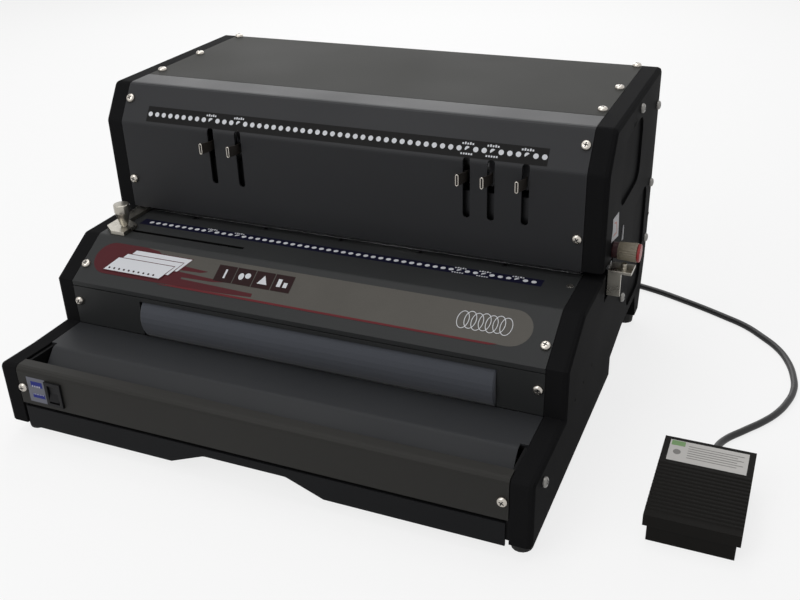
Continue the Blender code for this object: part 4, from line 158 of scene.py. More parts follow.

# ---------------------------------------------------------------- covers
# Folded 1.5 mm steel sheet between the side panels, in a fine textured charcoal powder coat.
# The top cover's coat is painted about twice as light as the front cover's, as painted light
# and sheen on its upward face, and the shelf's is painted lighter and bluer as a painted sheen
# in its trough. The deck and the front fascia are slightly darker and browner.
TOP_LIT_COLOUR = (0.048, 0.048, 0.0455)
COVER_COLOUR = (0.022, 0.0225, 0.0245)
DECK_COLOUR = (0.0215, 0.0225, 0.0230)
SHELF_SHEEN_COLOUR = (0.0240, 0.0252, 0.0275)
FASCIA_COLOUR = (0.0215, 0.0208, 0.0190)
COAT_RELIEF = 0.00004
# The top cover's coat is painted lighter than the rest, as painted light on its upward face.
coat_nodes(finish("powder_coat_top_lit", TOP_LIT_COLOUR, 0.60, relief=COAT_RELIEF, specular=0.03,
                  shift=0.14), "top_cover")
coat_nodes(finish("powder_coat_cover", COVER_COLOUR, 0.50, relief=COAT_RELIEF, specular=0.18,
                  shift=0.12), "front_cover")
deck_coat = finish("powder_coat_deck", DECK_COLOUR, 0.50, relief=COAT_RELIEF, specular=0.17,
                   shift=0.12)
coat_nodes(deck_coat, "middle_panel", "rear_cover")
# The deck's own copy of the coat is painted near-black over the edge guide's slot, as painted shade
# in the slot.
GUIDE_SLOT_MIDDLE = (-0.1828, -0.0480)
GUIDE_SLOT_HALF = (0.0572, 0.00180)
slot_shaded_coat = deck_coat.copy()
slot_shaded_coat.name = "powder_coat_deck_slot_shade"
slot_shade_tree = slot_shaded_coat.node_tree
axes = slot_shade_tree.nodes.new("ShaderNodeSeparateXYZ")
inside = slot_shade_tree.nodes.new("ShaderNodeMath")
inside.operation = "MULTIPLY"
slot_shade = slot_shade_tree.nodes.new("ShaderNodeMix")
slot_shade.data_type = "RGBA"
slot_shade.inputs["B"].default_value = (0.0008, 0.0008, 0.0008, 1.0)
slot_shade_tree.links.new(slot_shade_tree.nodes["Texture Coordinate"].outputs["Object"], axes.inputs["Vector"])
for place, (output, middle, half) in enumerate(zip("XY", GUIDE_SLOT_MIDDLE, GUIDE_SLOT_HALF)):
    near = slot_shade_tree.nodes.new("ShaderNodeMath")
    near.operation = "COMPARE"
    near.inputs[1].default_value = middle
    near.inputs[2].default_value = half
    slot_shade_tree.links.new(axes.outputs[output], near.inputs[0])
    slot_shade_tree.links.new(near.outputs["Value"], inside.inputs[place])
slot_shade_tree.links.new(inside.outputs["Value"], slot_shade.inputs["Factor"])
slot_shade_tree.links.new(slot_shade_tree.nodes["Mix"].outputs["Result"], slot_shade.inputs["A"])
slot_shade_tree.links.new(slot_shade.outputs["Result"], slot_shade_tree.nodes["Principled BSDF"].inputs["Base Color"])
coat_nodes(slot_shaded_coat, "deck_panel")
# The shelf's coat is painted lighter and bluer, as a painted sheen in its trough.
coat_nodes(finish("powder_coat_shelf_sheen", SHELF_SHEEN_COLOUR, 0.50, relief=COAT_RELIEF, specular=0.17,
                  shift=0.12), "shelf_tray")
coat_nodes(finish("powder_coat_fascia", FASCIA_COLOUR, 0.58, relief=COAT_RELIEF, specular=0.16,
                  shift=0.12), "front_fascia")

# ---------------------------------------------------------------- side panels and drawer
# Thick cheeks with a round outer edge in satin black paint, and the drawer's front between
# them in the same paint. Punched slots and holes in the right panel are near-black patches on
# its face, painted shade for their dark inside. A near-black strip behind the drawer's front
# is painted shade that fills the gap under the fascia.
satin = finish("satin_black", (0.0112, 0.0112, 0.0118), 0.50, grain=2000.0, relief=0.00003,
               shift=0.12, edge=0.0008, specular=0.003)
coat_nodes(satin, "left_side_panel", "right_side_panel")
coat_nodes(finish("drawer_black", (0.0115, 0.0118, 0.0128), 0.46, grain=2000.0, relief=0.00003,
                  shift=0.12, edge=0.0006, specular=0.05), "chip_drawer")
MACHINE_ORIGIN = Vector((-0.06035, -0.178, 0.0))
PANEL_FACE_X = 0.2078
PRINT_HALF = 0.00004
PANEL_SLOTS = ((0.250, 0.212, 0.0050, 0.0018), (0.350, 0.100, 0.0050, 0.0018),
               (0.150, 0.062, 0.0011, 0.0011), (0.125, 0.062, 0.0011, 0.0011),
               (0.101, 0.062, 0.0011, 0.0011))


def at(x, y, z):
    """Place on the machine, turned into the row frame."""
    return Vector((x, y, z)) + MACHINE_ORIGIN


def plane_on(origin, across, up):
    """Matrix that lays a flat drawing on a face, by its origin and two directions."""
    across, up = Vector(across).normalized(), Vector(up).normalized()
    made = Matrix((across, up, across.cross(up))).transposed().to_4x4()
    return Matrix.Translation(origin) @ made


def ellipse(x, y, wide, high, steps=20, first=0.0, last=2 * math.pi):
    """Outline of an ellipse or a part of one."""
    return [(x + wide * math.cos(first + (last - first) * step / steps),
             y + high * math.sin(first + (last - first) * step / steps))
            for step in range(steps if last - first >= 2 * math.pi else steps + 1)]


def long_hole(x, y, wide, high):
    """Outline of an upright slot with round ends, by its half sizes."""
    reach = high - wide
    return ellipse(x, y + reach, wide, wide, 8, 0, math.pi) + ellipse(
        x, y - reach, wide, wide, 8, math.pi, 2 * math.pi)


def rectangle(left, low, right, high):
    """Outline of a rectangle."""
    return [(left, low), (right, low), (right, high), (left, high)]


def select_only(piece):
    """Selects one object and makes it active."""
    bpy.ops.object.select_all(action="DESELECT")
    piece.select_set(True)
    bpy.context.view_layer.objects.active = piece


def printed(name, outlines, face, lift, material, body="machine", half=PRINT_HALF):
    """Thin flat piece from outlines in the plane of a face, lifted off it by its layer."""
    drawing = bpy.data.curves.new(name, "CURVE")
    drawing.dimensions = "2D"
    drawing.fill_mode = "BOTH"
    drawing.extrude = half
    for outline in outlines:
        line = drawing.splines.new("POLY")
        line.points.add(len(outline) - 1)
        line.use_cyclic_u = True
        for knot, (x, y) in zip(line.points, outline):
            knot.co = (x, y, 0.0, 1.0)
    piece = bpy.data.objects.new(name, drawing)
    bpy.context.collection.objects.link(piece)
    select_only(piece)
    bpy.ops.object.convert(target="MESH")
    piece = bpy.context.object
    piece.matrix_world = face @ Matrix.Translation((0, 0, lift + half))
    bpy.ops.object.transform_apply(location=True, rotation=True, scale=True)
    piece.data.materials.clear()
    piece.data.materials.append(material)
    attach(piece, body)
    return piece


right_face = plane_on(at(PANEL_FACE_X, 0, 0), (0, 1, 0), (0, 0, 1))
# Near-black patches stand for the panel's holes, as painted shade in them.
painted_hole_shade = finish("painted_hole_shade", (0.002, 0.002, 0.002), 0.9, edge=0.0, specular=0.05)
printed("panel_hole_shades", [long_hole(*spot) for spot in PANEL_SLOTS], right_face, 0, painted_hole_shade)
# A near-black strip behind the drawer's front is painted shade that fills the gap under the fascia.
GAP_SHADE_STRIP = (0.3780, 0.0020, 0.0060)
GAP_SHADE_PLACE = (0.0, 0.0027, 0.0275)
bpy.ops.mesh.primitive_cube_add(size=1.0, location=at(*GAP_SHADE_PLACE), scale=GAP_SHADE_STRIP)
gap_shade_strip = bpy.context.object
gap_shade_strip.name = "drawer_gap_shade_strip"
bpy.ops.object.transform_apply(location=True, rotation=True, scale=True)
gap_shade_strip.data.materials.append(finish("gap_shade_black", (0.004, 0.004, 0.004), 0.95, grain=1500.0,
                                      relief=0.0001, edge=0.0, specular=0.05))
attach(gap_shade_strip, "drawer")

# ---------------------------------------------------------------- pan head screws
# Nickel-plated machine screws with a cross recess along the ends of the covers and on the side
# panels, and black flat heads with a star recess in the deck below the cover.
HEAD_RADIUS = 0.0037
HEAD_HEIGHT = 0.0027
RECESS_DEPTH = 0.0004
RECESS_HALF = 0.0004
RECESS_REACH = 0.0018
SCREW_X = 0.188
TWIST_STEP = 0.7
COVER_FACE_Y = 0.1657
COVER_BEND_Z = 0.2009
TOP_FOLD = (0.1845, 0.2284)
SLOPE_FOOT = (0.0756, 0.0983)
DECK_EDGE = (0.1164, 0.1219)
COVER_TILT = math.atan2(TOP_FOLD[1] - COVER_BEND_Z, TOP_FOLD[0] - COVER_FACE_Y)
SLOPE_TILT = math.atan2(DECK_EDGE[1] - SLOPE_FOOT[1], DECK_EDGE[0] - SLOPE_FOOT[0])
UP = (0, 0, 1)
FRONT = (0, -1, 0)
COVER_NORMAL = (0, -math.sin(COVER_TILT), math.cos(COVER_TILT))
SLOPE_NORMAL = (0, -math.sin(SLOPE_TILT), math.cos(SLOPE_TILT))
SHEET_SCREWS = (((0.2239, 0.2284), UP), ((0.2819, 0.2284), UP), ((0.3495, 0.2284), UP),
                ((0.1770, 0.2174), COVER_NORMAL), ((0.1657, 0.1523), FRONT),
                ((0.0903, 0.1068), SLOPE_NORMAL), ((0.0756, 0.0815), FRONT),
                ((0.0, 0.0455), FRONT))
PANEL_SCREWS = ((0.3460, 0.1987), (0.2706, 0.2181), (0.3460, 0.1313), (0.3435, 0.0811),
                (0.2492, 0.0685), (0.0231, 0.0491))
plated = finish("screw_nickel", (0.46, 0.43, 0.39), 0.26, metallic=1.0, grain=1500.0,
                relief=0.00001, edge=0.0002, cloud=200.0)
# The cross recesses are coloured near-black, as painted shade in them.
painted_recess_shade = finish("painted_recess_shade", (0.03, 0.03, 0.03), 0.6, edge=0.0, specular=0.2)


def use_modifier(piece, kind, **settings):
    """Adds a modifier with its settings and applies it."""
    made = piece.modifiers.new(kind.lower(), kind)
    for name, value in settings.items():
        setattr(made, name, value)
    select_only(piece)
    bpy.ops.object.modifier_apply(modifier=made.name)


bpy.ops.mesh.primitive_cylinder_add(vertices=32, radius=HEAD_RADIUS, depth=HEAD_HEIGHT,
                                    location=(0, 0, HEAD_HEIGHT / 2))
head = bpy.context.object
head.name = "screw_head"
bpy.ops.object.transform_apply(location=True, rotation=True, scale=True)
bpy.ops.object.mode_set(mode="EDIT")
bpy.ops.mesh.select_all(action="DESELECT")
bpy.ops.object.mode_set(mode="OBJECT")
for edge in head.data.edges:
    edge.select = all(head.data.vertices[end].co.z > HEAD_HEIGHT / 2 for end in edge.vertices)
bpy.ops.object.mode_set(mode="EDIT")
bpy.ops.mesh.bevel(offset=HEAD_HEIGHT * 0.75, segments=5, profile=0.5, affect="EDGES")
bpy.ops.object.mode_set(mode="OBJECT")
bpy.ops.mesh.primitive_cube_add(size=1.0, location=(0, 0, HEAD_HEIGHT))
recess = bpy.context.object
recess.scale = (2 * RECESS_REACH, 2 * RECESS_HALF, 2 * RECESS_DEPTH)
bpy.ops.object.transform_apply(location=False, rotation=False, scale=True)
crossing = recess.copy()
crossing.data = recess.data.copy()
crossing.rotation_euler = (0, 0, math.pi / 2)
bpy.context.collection.objects.link(crossing)
head.data.materials.append(plated)
for cutter in (recess, crossing):
    cutter.data.materials.append(painted_recess_shade)
    use_modifier(head, "BOOLEAN", operation="DIFFERENCE", object=cutter, solver="EXACT",
                 material_mode="TRANSFER")
    bpy.data.objects.remove(cutter)
bpy.ops.object.shade_smooth_by_angle(angle=math.radians(40))


def seat(piece, place, normal, twist):
    """Copy of a piece with its own mesh, set on a face and turned by an angle."""
    made = piece.copy()
    made.data = piece.data.copy()
    bpy.context.collection.objects.link(made)
    made.matrix_world = (Matrix.Translation(place)
                         @ Vector(normal).to_track_quat("Z", "Y").to_matrix().to_4x4()
                         @ Matrix.Rotation(twist, 4, "Z"))
    return made


def join(pieces, name):
    """Joins pieces to one object whose place is in its mesh."""
    bpy.ops.object.select_all(action="DESELECT")
    for piece in pieces:
        piece.select_set(True)
    bpy.context.view_layer.objects.active = pieces[0]
    bpy.ops.object.join()
    bpy.ops.object.transform_apply(location=True, rotation=True, scale=True)
    pieces[0].name = name
    return pieces[0]


sheet_heads, panel_heads = [], []
for side in (-1, 1):
    for (y, z), normal in SHEET_SCREWS:
        sheet_heads.append(seat(head, at(side * SCREW_X, y, z), normal,
                                len(sheet_heads) * TWIST_STEP))
    for y, z in PANEL_SCREWS:
        panel_heads.append(seat(head, at(side * PANEL_FACE_X, y, z), (side, 0, 0),
                                len(panel_heads) * TWIST_STEP))
bpy.data.objects.remove(head)
sheet_screws = join(sheet_heads, "sheet_screws")
panel_screws = join(panel_heads, "panel_screws")
# The side panels' screws get a darker copy of the nickel, painted shade that dims their highlights
# on the dark sides.
panel_screws.data.materials[0] = finish(
    "screw_nickel_painted_shade", (0.20, 0.195, 0.185), 0.36, metallic=1.0, grain=1500.0, relief=0.00001,
    edge=0.0002, cloud=200.0)
for screws in (sheet_screws, panel_screws):
    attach(screws, "machine")

STAR_SCREW_XS = (-0.1348, -0.0674, 0.0, 0.0674, 0.1348)
STAR_SCREW_Y = 0.1690
STAR_HEAD_RADIUS = 0.0031
STAR_LIFT = 0.0002
STAR_SHARES = (0.32, 0.55)
STAR_CORNERS = 12
deck_face = plane_on(at(0, 0, DECK_EDGE[1]), (1, 0, 0), (0, 1, 0))
printed("deck_screw_heads", [ellipse(x, STAR_SCREW_Y, STAR_HEAD_RADIUS, STAR_HEAD_RADIUS, 24)
                             for x in STAR_SCREW_XS], deck_face, STAR_LIFT / 2, blackened,
        half=STAR_LIFT / 2)
# The star recesses are near-black flat shapes, painted shade in the recesses.
stars = []
for x in STAR_SCREW_XS:
    reaches = [STAR_HEAD_RADIUS * STAR_SHARES[step % 2] for step in range(STAR_CORNERS)]
    stars.append([(x + reach * math.cos(2 * math.pi * step / STAR_CORNERS),
                   STAR_SCREW_Y + reach * math.sin(2 * math.pi * step / STAR_CORNERS))
                  for step, reach in enumerate(reaches)])
printed("deck_screw_star_shades", stars, deck_face, 1.5 * STAR_LIFT, painted_hole_shade)
SMALL_SCREW_RADIUS = 0.0026
SMALL_SCREW_PLACE = (0.188, 0.152)
printed("deck_end_screw",
        [ellipse(*SMALL_SCREW_PLACE, SMALL_SCREW_RADIUS, SMALL_SCREW_RADIUS, 24)],
        deck_face, 0, plated, half=STAR_LIFT / 2)

# ---------------------------------------------------------------- printed hole scales
# Two polyester labels with a row of 53 dots each, one for every hole of the punch. Half dots
# and short ticks show the holes that the size levers switch off.
DOT_PITCH = 0.0062866
DOT_COUNT = 53
DOT_RADIUS = 0.00195
HALF_DOTS = (9, 13, 43, 46, 50)
MARKED_BELOW = (43, 46)
HALF_DOT_TURN = math.radians(40)
TICKS = 5
TICKS_LEFT = 0.0045
TICK_STEP = 0.0019
TICK_WIDE = 0.0012
TICK_NEAR = 0.0031
TICK_FAR = 0.0044
TICK_RISE = 0.0005
COVER_ROW = (-0.0024, 0.0088)
COVER_LABEL = (-0.1690, 0.0024, 0.1637, 0.0152)
DECK_ROW = (-0.0009, 0.1492)
DECK_LABEL = (-0.1735, 0.1440, 0.1690, 0.1544)
label_black = finish("label_black", (0.0105, 0.0103, 0.0103), 0.45, grain=900.0, relief=0.000004,
                     edge=0.0, specular=0.06)
label_navy = finish("label_navy", (0.0060, 0.0060, 0.0190), 0.45, grain=900.0, relief=0.000004,
                    edge=0.0, specular=0.06)
ink_white = finish("ink_white", (0.66, 0.67, 0.70), 0.5, grain=3000.0, relief=0.000004, shift=0.05,
                   edge=0.0, specular=0.1)


def scale_marks(row):
    """Dots, half dots and their ticks along a row, from its middle."""
    marks = []
    row_x, line_y = row
    for index in range(DOT_COUNT):
        x = row_x + DOT_PITCH * (index - (DOT_COUNT - 1) / 2)
        if index in HALF_DOTS:
            marks.append(ellipse(x, line_y, DOT_RADIUS, DOT_RADIUS, 12, HALF_DOT_TURN,
                                 HALF_DOT_TURN + math.pi))
            for step in range(TICKS):
                tick = x - TICKS_LEFT + TICK_STEP * step
                marks.append(rectangle(tick, line_y + TICK_NEAR, tick + TICK_WIDE,
                                       line_y + TICK_FAR + TICK_RISE * (step % 2)))
                if index in MARKED_BELOW:
                    marks.append(rectangle(tick, line_y - TICK_FAR, tick + TICK_WIDE,
                                           line_y - TICK_NEAR))
        else:
            marks.append(ellipse(x, line_y, DOT_RADIUS, DOT_RADIUS))
    return marks


cover_face = plane_on(at(0, COVER_FACE_Y, COVER_BEND_Z), (1, 0, 0),
                      (0, math.cos(COVER_TILT), math.sin(COVER_TILT)))
printed("cover_scale", [rectangle(*COVER_LABEL)], cover_face, 0, label_black)
printed("cover_scale_marks", scale_marks(COVER_ROW), cover_face, 2 * PRINT_HALF, ink_white)
printed("deck_scale", [rectangle(*DECK_LABEL)], deck_face, 0, label_navy)
printed("deck_scale_marks", scale_marks(DECK_ROW), deck_face, 2 * PRINT_HALF, ink_white)

# ---------------------------------------------------------------- slope label
# A long polyester label with a brown-grey metallic ground, a maroon field that runs out in
# tapering stripes, four small step signs, and plain drawings of sheets and of coil rings.
LABEL_LOW = 0.0115
LABEL_HIGH = 0.0410
LABEL_LEFT = -0.1690
LABEL_RIGHT = 0.1620
slope_face = plane_on(at(0, *SLOPE_FOOT), (1, 0, 0),
                      (0, math.cos(SLOPE_TILT), math.sin(SLOPE_TILT)))
label_ground = finish("label_ground", (0.068, 0.064, 0.057), 0.45, metallic=0.25, grain=1100.0,
                      relief=0.000006, shift=0.24, cloud=28.0, edge=0.0, specular=0.12)
label_maroon = finish("label_maroon", (0.072, 0.0150, 0.0185), 0.45, grain=1300.0,
                      relief=0.000004, edge=0.0, specular=0.08)
label_dark = finish("label_dark", (0.022, 0.0100, 0.0105), 0.45, grain=1300.0,
                    relief=0.000004, edge=0.0, specular=0.06)
label_red = finish("label_red", (0.120, 0.0200, 0.0240), 0.45, grain=1300.0,
                   relief=0.000004, edge=0.0, specular=0.08)
centre = (LABEL_LOW + LABEL_HIGH) / 2
round_end = (LABEL_HIGH - LABEL_LOW) / 2
ground = (ellipse(LABEL_RIGHT, centre, round_end, round_end, 16, -math.pi / 2, math.pi / 2)
          + ellipse(LABEL_LEFT, centre, round_end, round_end, 16, math.pi / 2, 3 * math.pi / 2))
printed("slope_label", [ground], slope_face, 0, label_ground)
FIELD = (ellipse(LABEL_LEFT, centre, round_end, round_end, 16, math.pi / 2, 3 * math.pi / 2)
         + [(-0.120, LABEL_LOW), (-0.060, LABEL_LOW + 0.0010), (-0.036, LABEL_LOW + 0.0022),
            (-0.036, LABEL_LOW + 0.0052), (-0.100, LABEL_LOW + 0.0070),
            (-0.100, LABEL_LOW + 0.0086), (-0.072, LABEL_LOW + 0.0092),
            (-0.060, LABEL_LOW + 0.0112), (-0.104, LABEL_LOW + 0.0130),
            (-0.104, LABEL_LOW + 0.0146), (-0.086, LABEL_LOW + 0.0152),
            (-0.080, LABEL_LOW + 0.0172), (-0.118, LABEL_LOW + 0.0196),
            (-0.130, LABEL_HIGH - 0.0016), (-0.142, LABEL_HIGH)])
printed("slope_label_field", [FIELD], slope_face, 2 * PRINT_HALF, label_maroon)
printed("slope_label_stripe", [[(-0.118, LABEL_LOW - 0.0012), (0.150, LABEL_LOW - 0.0012),
                                (0.156, LABEL_LOW + 0.0004), (-0.100, LABEL_LOW + 0.0006)]],
        slope_face, 2 * PRINT_HALF, label_red)
# three loose sheets one behind the other, each with a row of holes
SHEET_CORNER = (-0.1700, 0.0150)
SHEET_STEPS = ((0.0, 0.0), (0.0060, 0.0046), (0.0120, 0.0092))
SHEET_WIDE = 0.052
SHEET_HIGH = 0.0126
SHEET_SLANT = 0.008
SHEET_EDGE = 0.0006
SHEET_SIDES = ((-1, -1), (1, -1), (1, 1), (-1, 1))
SHEET_HOLES = 10
SHEET_HOLE_PLACE = (0.0045, 0.0022)
SHEET_HOLE_PITCH = 0.0046
SHEET_HOLE_RADIUS = 0.0009
for step, (right, up) in enumerate(reversed(SHEET_STEPS)):
    sheet_left, sheet_low = SHEET_CORNER[0] + right, SHEET_CORNER[1] + up
    outline = [(sheet_left, sheet_low), (sheet_left + SHEET_WIDE, sheet_low),
               (sheet_left + SHEET_WIDE + SHEET_SLANT, sheet_low + SHEET_HIGH),
               (sheet_left + SHEET_SLANT, sheet_low + SHEET_HIGH)]
    edge_line = [(x + SHEET_EDGE * side_x, y + SHEET_EDGE * side_y)
                 for (x, y), (side_x, side_y) in zip(outline, SHEET_SIDES)]
    layer = 4 + 6 * step
    printed("slope_label_sheet_edge_%d" % step, [edge_line], slope_face, layer * PRINT_HALF,
            label_maroon)
    printed("slope_label_sheet_%d" % step, [outline], slope_face, (layer + 2) * PRINT_HALF,
            ink_white)
    printed("slope_label_sheet_holes_%d" % step,
            [ellipse(sheet_left + SHEET_HOLE_PLACE[0] + SHEET_HOLE_PITCH * hole,
                     sheet_low + SHEET_HOLE_PLACE[1], SHEET_HOLE_RADIUS, SHEET_HOLE_RADIUS, 12)
             for hole in range(SHEET_HOLES)], slope_face, (layer + 4) * PRINT_HALF, label_dark)
SIGN_LOW = 0.0222
SIGN_HIGH = 0.0370
SIGN_PITCH = 0.0165
SIGN_LEFT = -0.0730
SIGN_GAP = 0.0008
SIGNS = 4
signs = [rectangle(SIGN_LEFT + SIGN_PITCH * place, SIGN_LOW, SIGN_LEFT + SIGN_PITCH * place
                   + SIGN_PITCH - SIGN_GAP, SIGN_HIGH) for place in range(SIGNS)]
printed("slope_label_signs", signs, slope_face, 4 * PRINT_HALF, label_dark)
middles = [SIGN_LEFT + SIGN_PITCH * (place + 0.5) - SIGN_GAP / 2 for place in range(SIGNS)]
sign_middle = (SIGN_LOW + SIGN_HIGH) / 2
drawn = [rectangle(middles[0] - 0.0008, sign_middle - 0.0040, middles[0] + 0.0008,
                   sign_middle + 0.0040),
         ellipse(middles[1] - 0.0026, sign_middle, 0.0022, 0.0030, 16),
         ellipse(middles[1] + 0.0028, sign_middle + 0.0014, 0.0024, 0.0024, 16),
         [(middles[2] - 0.0042, sign_middle - 0.0036), (middles[2] + 0.0042, sign_middle - 0.0036),
          (middles[2], sign_middle + 0.0042)],
         rectangle(middles[3] - 0.0044, sign_middle - 0.0034, middles[3] - 0.0012,
                   sign_middle + 0.0034),
         rectangle(middles[3] + 0.0008, sign_middle - 0.0034, middles[3] + 0.0040,
                   sign_middle + 0.0010)]
printed("slope_label_sign_drawings", drawn, slope_face, 6 * PRINT_HALF, ink_white)
RING_RADIUS = 0.0072
RING_LINE = 0.0005
RING_SHARE = 0.62
RING_LEFT = 0.1270
RING_STEP = 0.0052
RING_RISE = 0.0006
RINGS = 7
for ring in range(RINGS):
    x, y = RING_LEFT + RING_STEP * ring, centre + RING_RISE * (ring % 2)
    printed("slope_label_ring_%d" % ring,
            [ellipse(x, y, RING_RADIUS * RING_SHARE, RING_RADIUS, 32),
             ellipse(x, y, RING_RADIUS * RING_SHARE - RING_LINE, RING_RADIUS - RING_LINE, 32)],
            slope_face, 2 * PRINT_HALF + 0.1 * PRINT_HALF * ring, ink_white)

# ---------------------------------------------------------------- size levers
# Bent steel strip that stands out of each slot and leans to the left, with a rolled nickel rim
# round its hem. A lever pulled down switches off the punch pin behind it.
LEVER_XS = (-0.10813, -0.08338, 0.10534, 0.12382, 0.14928)
LEVER_MIDDLE_Z = 0.1892
LEVER_GAUGE = 0.0010
LEVER_ROOT = 0.0037
LEVER_HEIGHT = 0.0076
LEVER_BENDS = ((-0.0004, -0.0022), (-0.0013, -0.0033), (-0.0019, -0.0038))
LEVER_FLARE = 1.04
HEM_HALF = (0.0012, 0.0043)
HEM_GAUGE = 0.0010
RIM_WIRE = 0.00042
lever_coat = finish("lever_strip", (0.022, 0.018, 0.015), 0.45, metallic=0.4, grain=1300.0,
                    relief=0.00001, shift=0.15, cloud=80.0)
bpy.ops.mesh.primitive_cube_add(size=1.0, location=(0, LEVER_ROOT / 2, 0),
                                scale=(LEVER_GAUGE, LEVER_ROOT, LEVER_HEIGHT))
strip = bpy.context.object
bpy.ops.object.transform_apply(location=True, rotation=True, scale=True)
bpy.ops.object.mode_set(mode="EDIT")
bpy.ops.mesh.select_all(action="DESELECT")
bpy.ops.object.mode_set(mode="OBJECT")
for side in strip.data.polygons:
    side.select = side.normal.y < -0.5
bpy.ops.object.mode_set(mode="EDIT")
reach = Vector((0, 0, 0))
for bend in LEVER_BENDS:
    bpy.ops.mesh.extrude_region_move(TRANSFORM_OT_translate={"value": (*bend, 0)})
    reach += Vector((*bend, 0))
    bpy.ops.transform.resize(value=(1, 1, LEVER_FLARE), center_override=reach)
bpy.ops.mesh.select_all(action="SELECT")
bpy.ops.mesh.normals_make_consistent(inside=False)
bpy.ops.object.mode_set(mode="OBJECT")
strip.data.materials.append(lever_coat)
lever_pieces = [strip]
for wire, look, drawn_as in ((0, lever_coat, "2D"), (RIM_WIRE, plated, "3D")):
    drawing = bpy.data.curves.new("lever_hem", "CURVE")
    drawing.dimensions = drawn_as
    drawing.bevel_depth = wire
    drawing.bevel_resolution = 3
    drawing.extrude = 0 if wire else HEM_GAUGE / 2
    outline = long_hole(0, 0, HEM_HALF[0] - wire / 2, HEM_HALF[1] - wire / 2)
    line = drawing.splines.new("POLY")
    line.points.add(len(outline) - 1)
    line.use_cyclic_u = True
    for knot, (x, z) in zip(line.points, outline):
        knot.co = (x, z, 0.0, 1.0)
    hem = bpy.data.objects.new("lever_hem", drawing)
    bpy.context.collection.objects.link(hem)
    select_only(hem)
    bpy.ops.object.convert(target="MESH")
    hem = bpy.context.object
    hem.matrix_world = plane_on(reach - Vector((0, HEM_GAUGE / 2 if wire else 0, 0)), (1, 0, 0),
                                (0, 0, 1))
    hem.data.materials.clear()
    hem.data.materials.append(look)
    lever_pieces.append(hem)
lever = join(lever_pieces, "lever_strip")
bpy.ops.object.shade_smooth_by_angle(angle=math.radians(40))
for number, x in enumerate(LEVER_XS, 1):
    made = lever.copy()
    made.data = lever.data.copy()
    made.location = at(x, COVER_FACE_Y, LEVER_MIDDLE_Z)
    bpy.context.collection.objects.link(made)
    join([made], "lever_strip_%d" % number)
    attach(made, "lever_%d" % number)
    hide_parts("size_lever_%d" % number)
bpy.data.objects.remove(lever)

# ---------------------------------------------------------------- edge guide and stop bracket
# Nickel-plated sheet parts. The edge guide is clamped in the deck's slot by a turned knob with
# a ten-sided head on a cone, and the stop bracket is bent from one strip.
nickel = finish("bright_nickel", (0.40, 0.38, 0.335), 0.30, metallic=1.0, grain=1300.0,
                relief=0.00001, shift=0.10, cloud=80.0)
coat_nodes(nickel, "edge_guide", "stop_bracket")
KNOB_PLACE = (-0.1772, 0.1300)
KNOB_HEAD = (0.0065, 0.1368, 0.1444)
KNOB_CONE = (0.0032, 0.0058, 0.1262)
KNOB_SHANK = (0.0022, 0.1160)
KNOB_SOFT = 0.0007
KNOB_SIDES = 10
KNOB_TURN = 0.3
bpy.ops.mesh.primitive_cylinder_add(
    vertices=KNOB_SIDES, radius=KNOB_HEAD[0], depth=KNOB_HEAD[2] - KNOB_HEAD[1],
    location=at(*KNOB_PLACE, (KNOB_HEAD[1] + KNOB_HEAD[2]) / 2), rotation=(0, 0, KNOB_TURN))
knob_head = bpy.context.object
bpy.ops.object.mode_set(mode="EDIT")
bpy.ops.mesh.select_all(action="SELECT")
bpy.ops.mesh.bevel(offset=KNOB_SOFT, segments=3, affect="EDGES")
bpy.ops.object.mode_set(mode="OBJECT")
bpy.ops.mesh.primitive_cone_add(
    vertices=32, radius1=KNOB_CONE[0], radius2=KNOB_CONE[1], depth=KNOB_HEAD[1] - KNOB_CONE[2],
    location=at(*KNOB_PLACE, (KNOB_HEAD[1] + KNOB_CONE[2]) / 2))
knob_cone = bpy.context.object
bpy.ops.mesh.primitive_cylinder_add(
    vertices=24, radius=KNOB_SHANK[0], depth=KNOB_CONE[2] - KNOB_SHANK[1],
    location=at(*KNOB_PLACE, (KNOB_CONE[2] + KNOB_SHANK[1]) / 2))
knob = join([bpy.context.object, knob_head, knob_cone], "thumb_knob")
bpy.ops.object.shade_smooth_by_angle(angle=math.radians(30))
knob.data.materials.append(nickel)
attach(knob, "knob")
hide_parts("guide_knob")

# ---------------------------------------------------------------- depth dial
# Moulded beige knob with a red cap on a dark maroon collar. It sets how far the holes lie from
# the paper's edge, against a white wedge-shaped scale and a small pointer on the panel.
DIAL_PLACE = (0.196, 0.134)
COLLAR_RADIUS = 0.0060
COLLAR_LENGTH = 0.0043
COLLAR_GAP = 0.0002
COLLAR_SOFT = 0.0004
FLUTES = 24
FLUTE_SHARE = 0.92
GRIP = (0.2123, 0.0137, 0.0066, 0.0072)
CAP_LENGTH = 0.0022
CAP_SHARE = 0.93
CAP_GAP = 0.0001
CAP_SOFT = 0.0008
FLUTE_SOFT = 0.00025
bpy.ops.mesh.primitive_cone_add(
    vertices=2 * FLUTES, radius1=GRIP[2], radius2=GRIP[3], depth=GRIP[1],
    location=at(GRIP[0] + GRIP[1] / 2, *DIAL_PLACE), rotation=(0, math.pi / 2, 0))
grip = bpy.context.object
for corner in grip.data.vertices:
    turn = math.atan2(corner.co.y, corner.co.x) / (2 * math.pi) * 2 * FLUTES
    if round(turn) % 2:
        corner.co.x *= FLUTE_SHARE
        corner.co.y *= FLUTE_SHARE
join([grip], "dial_grip")
use_modifier(grip, "BEVEL", width=FLUTE_SOFT, segments=2, limit_method="ANGLE",
             angle_limit=math.radians(30))
bpy.ops.object.shade_smooth_by_angle(angle=math.radians(35))
grip.data.materials.append(finish("dial_beige", (0.25, 0.22, 0.165), 0.45, grain=900.0,
                                  specular=0.3))
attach(grip, "dial")
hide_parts("depth_dial")
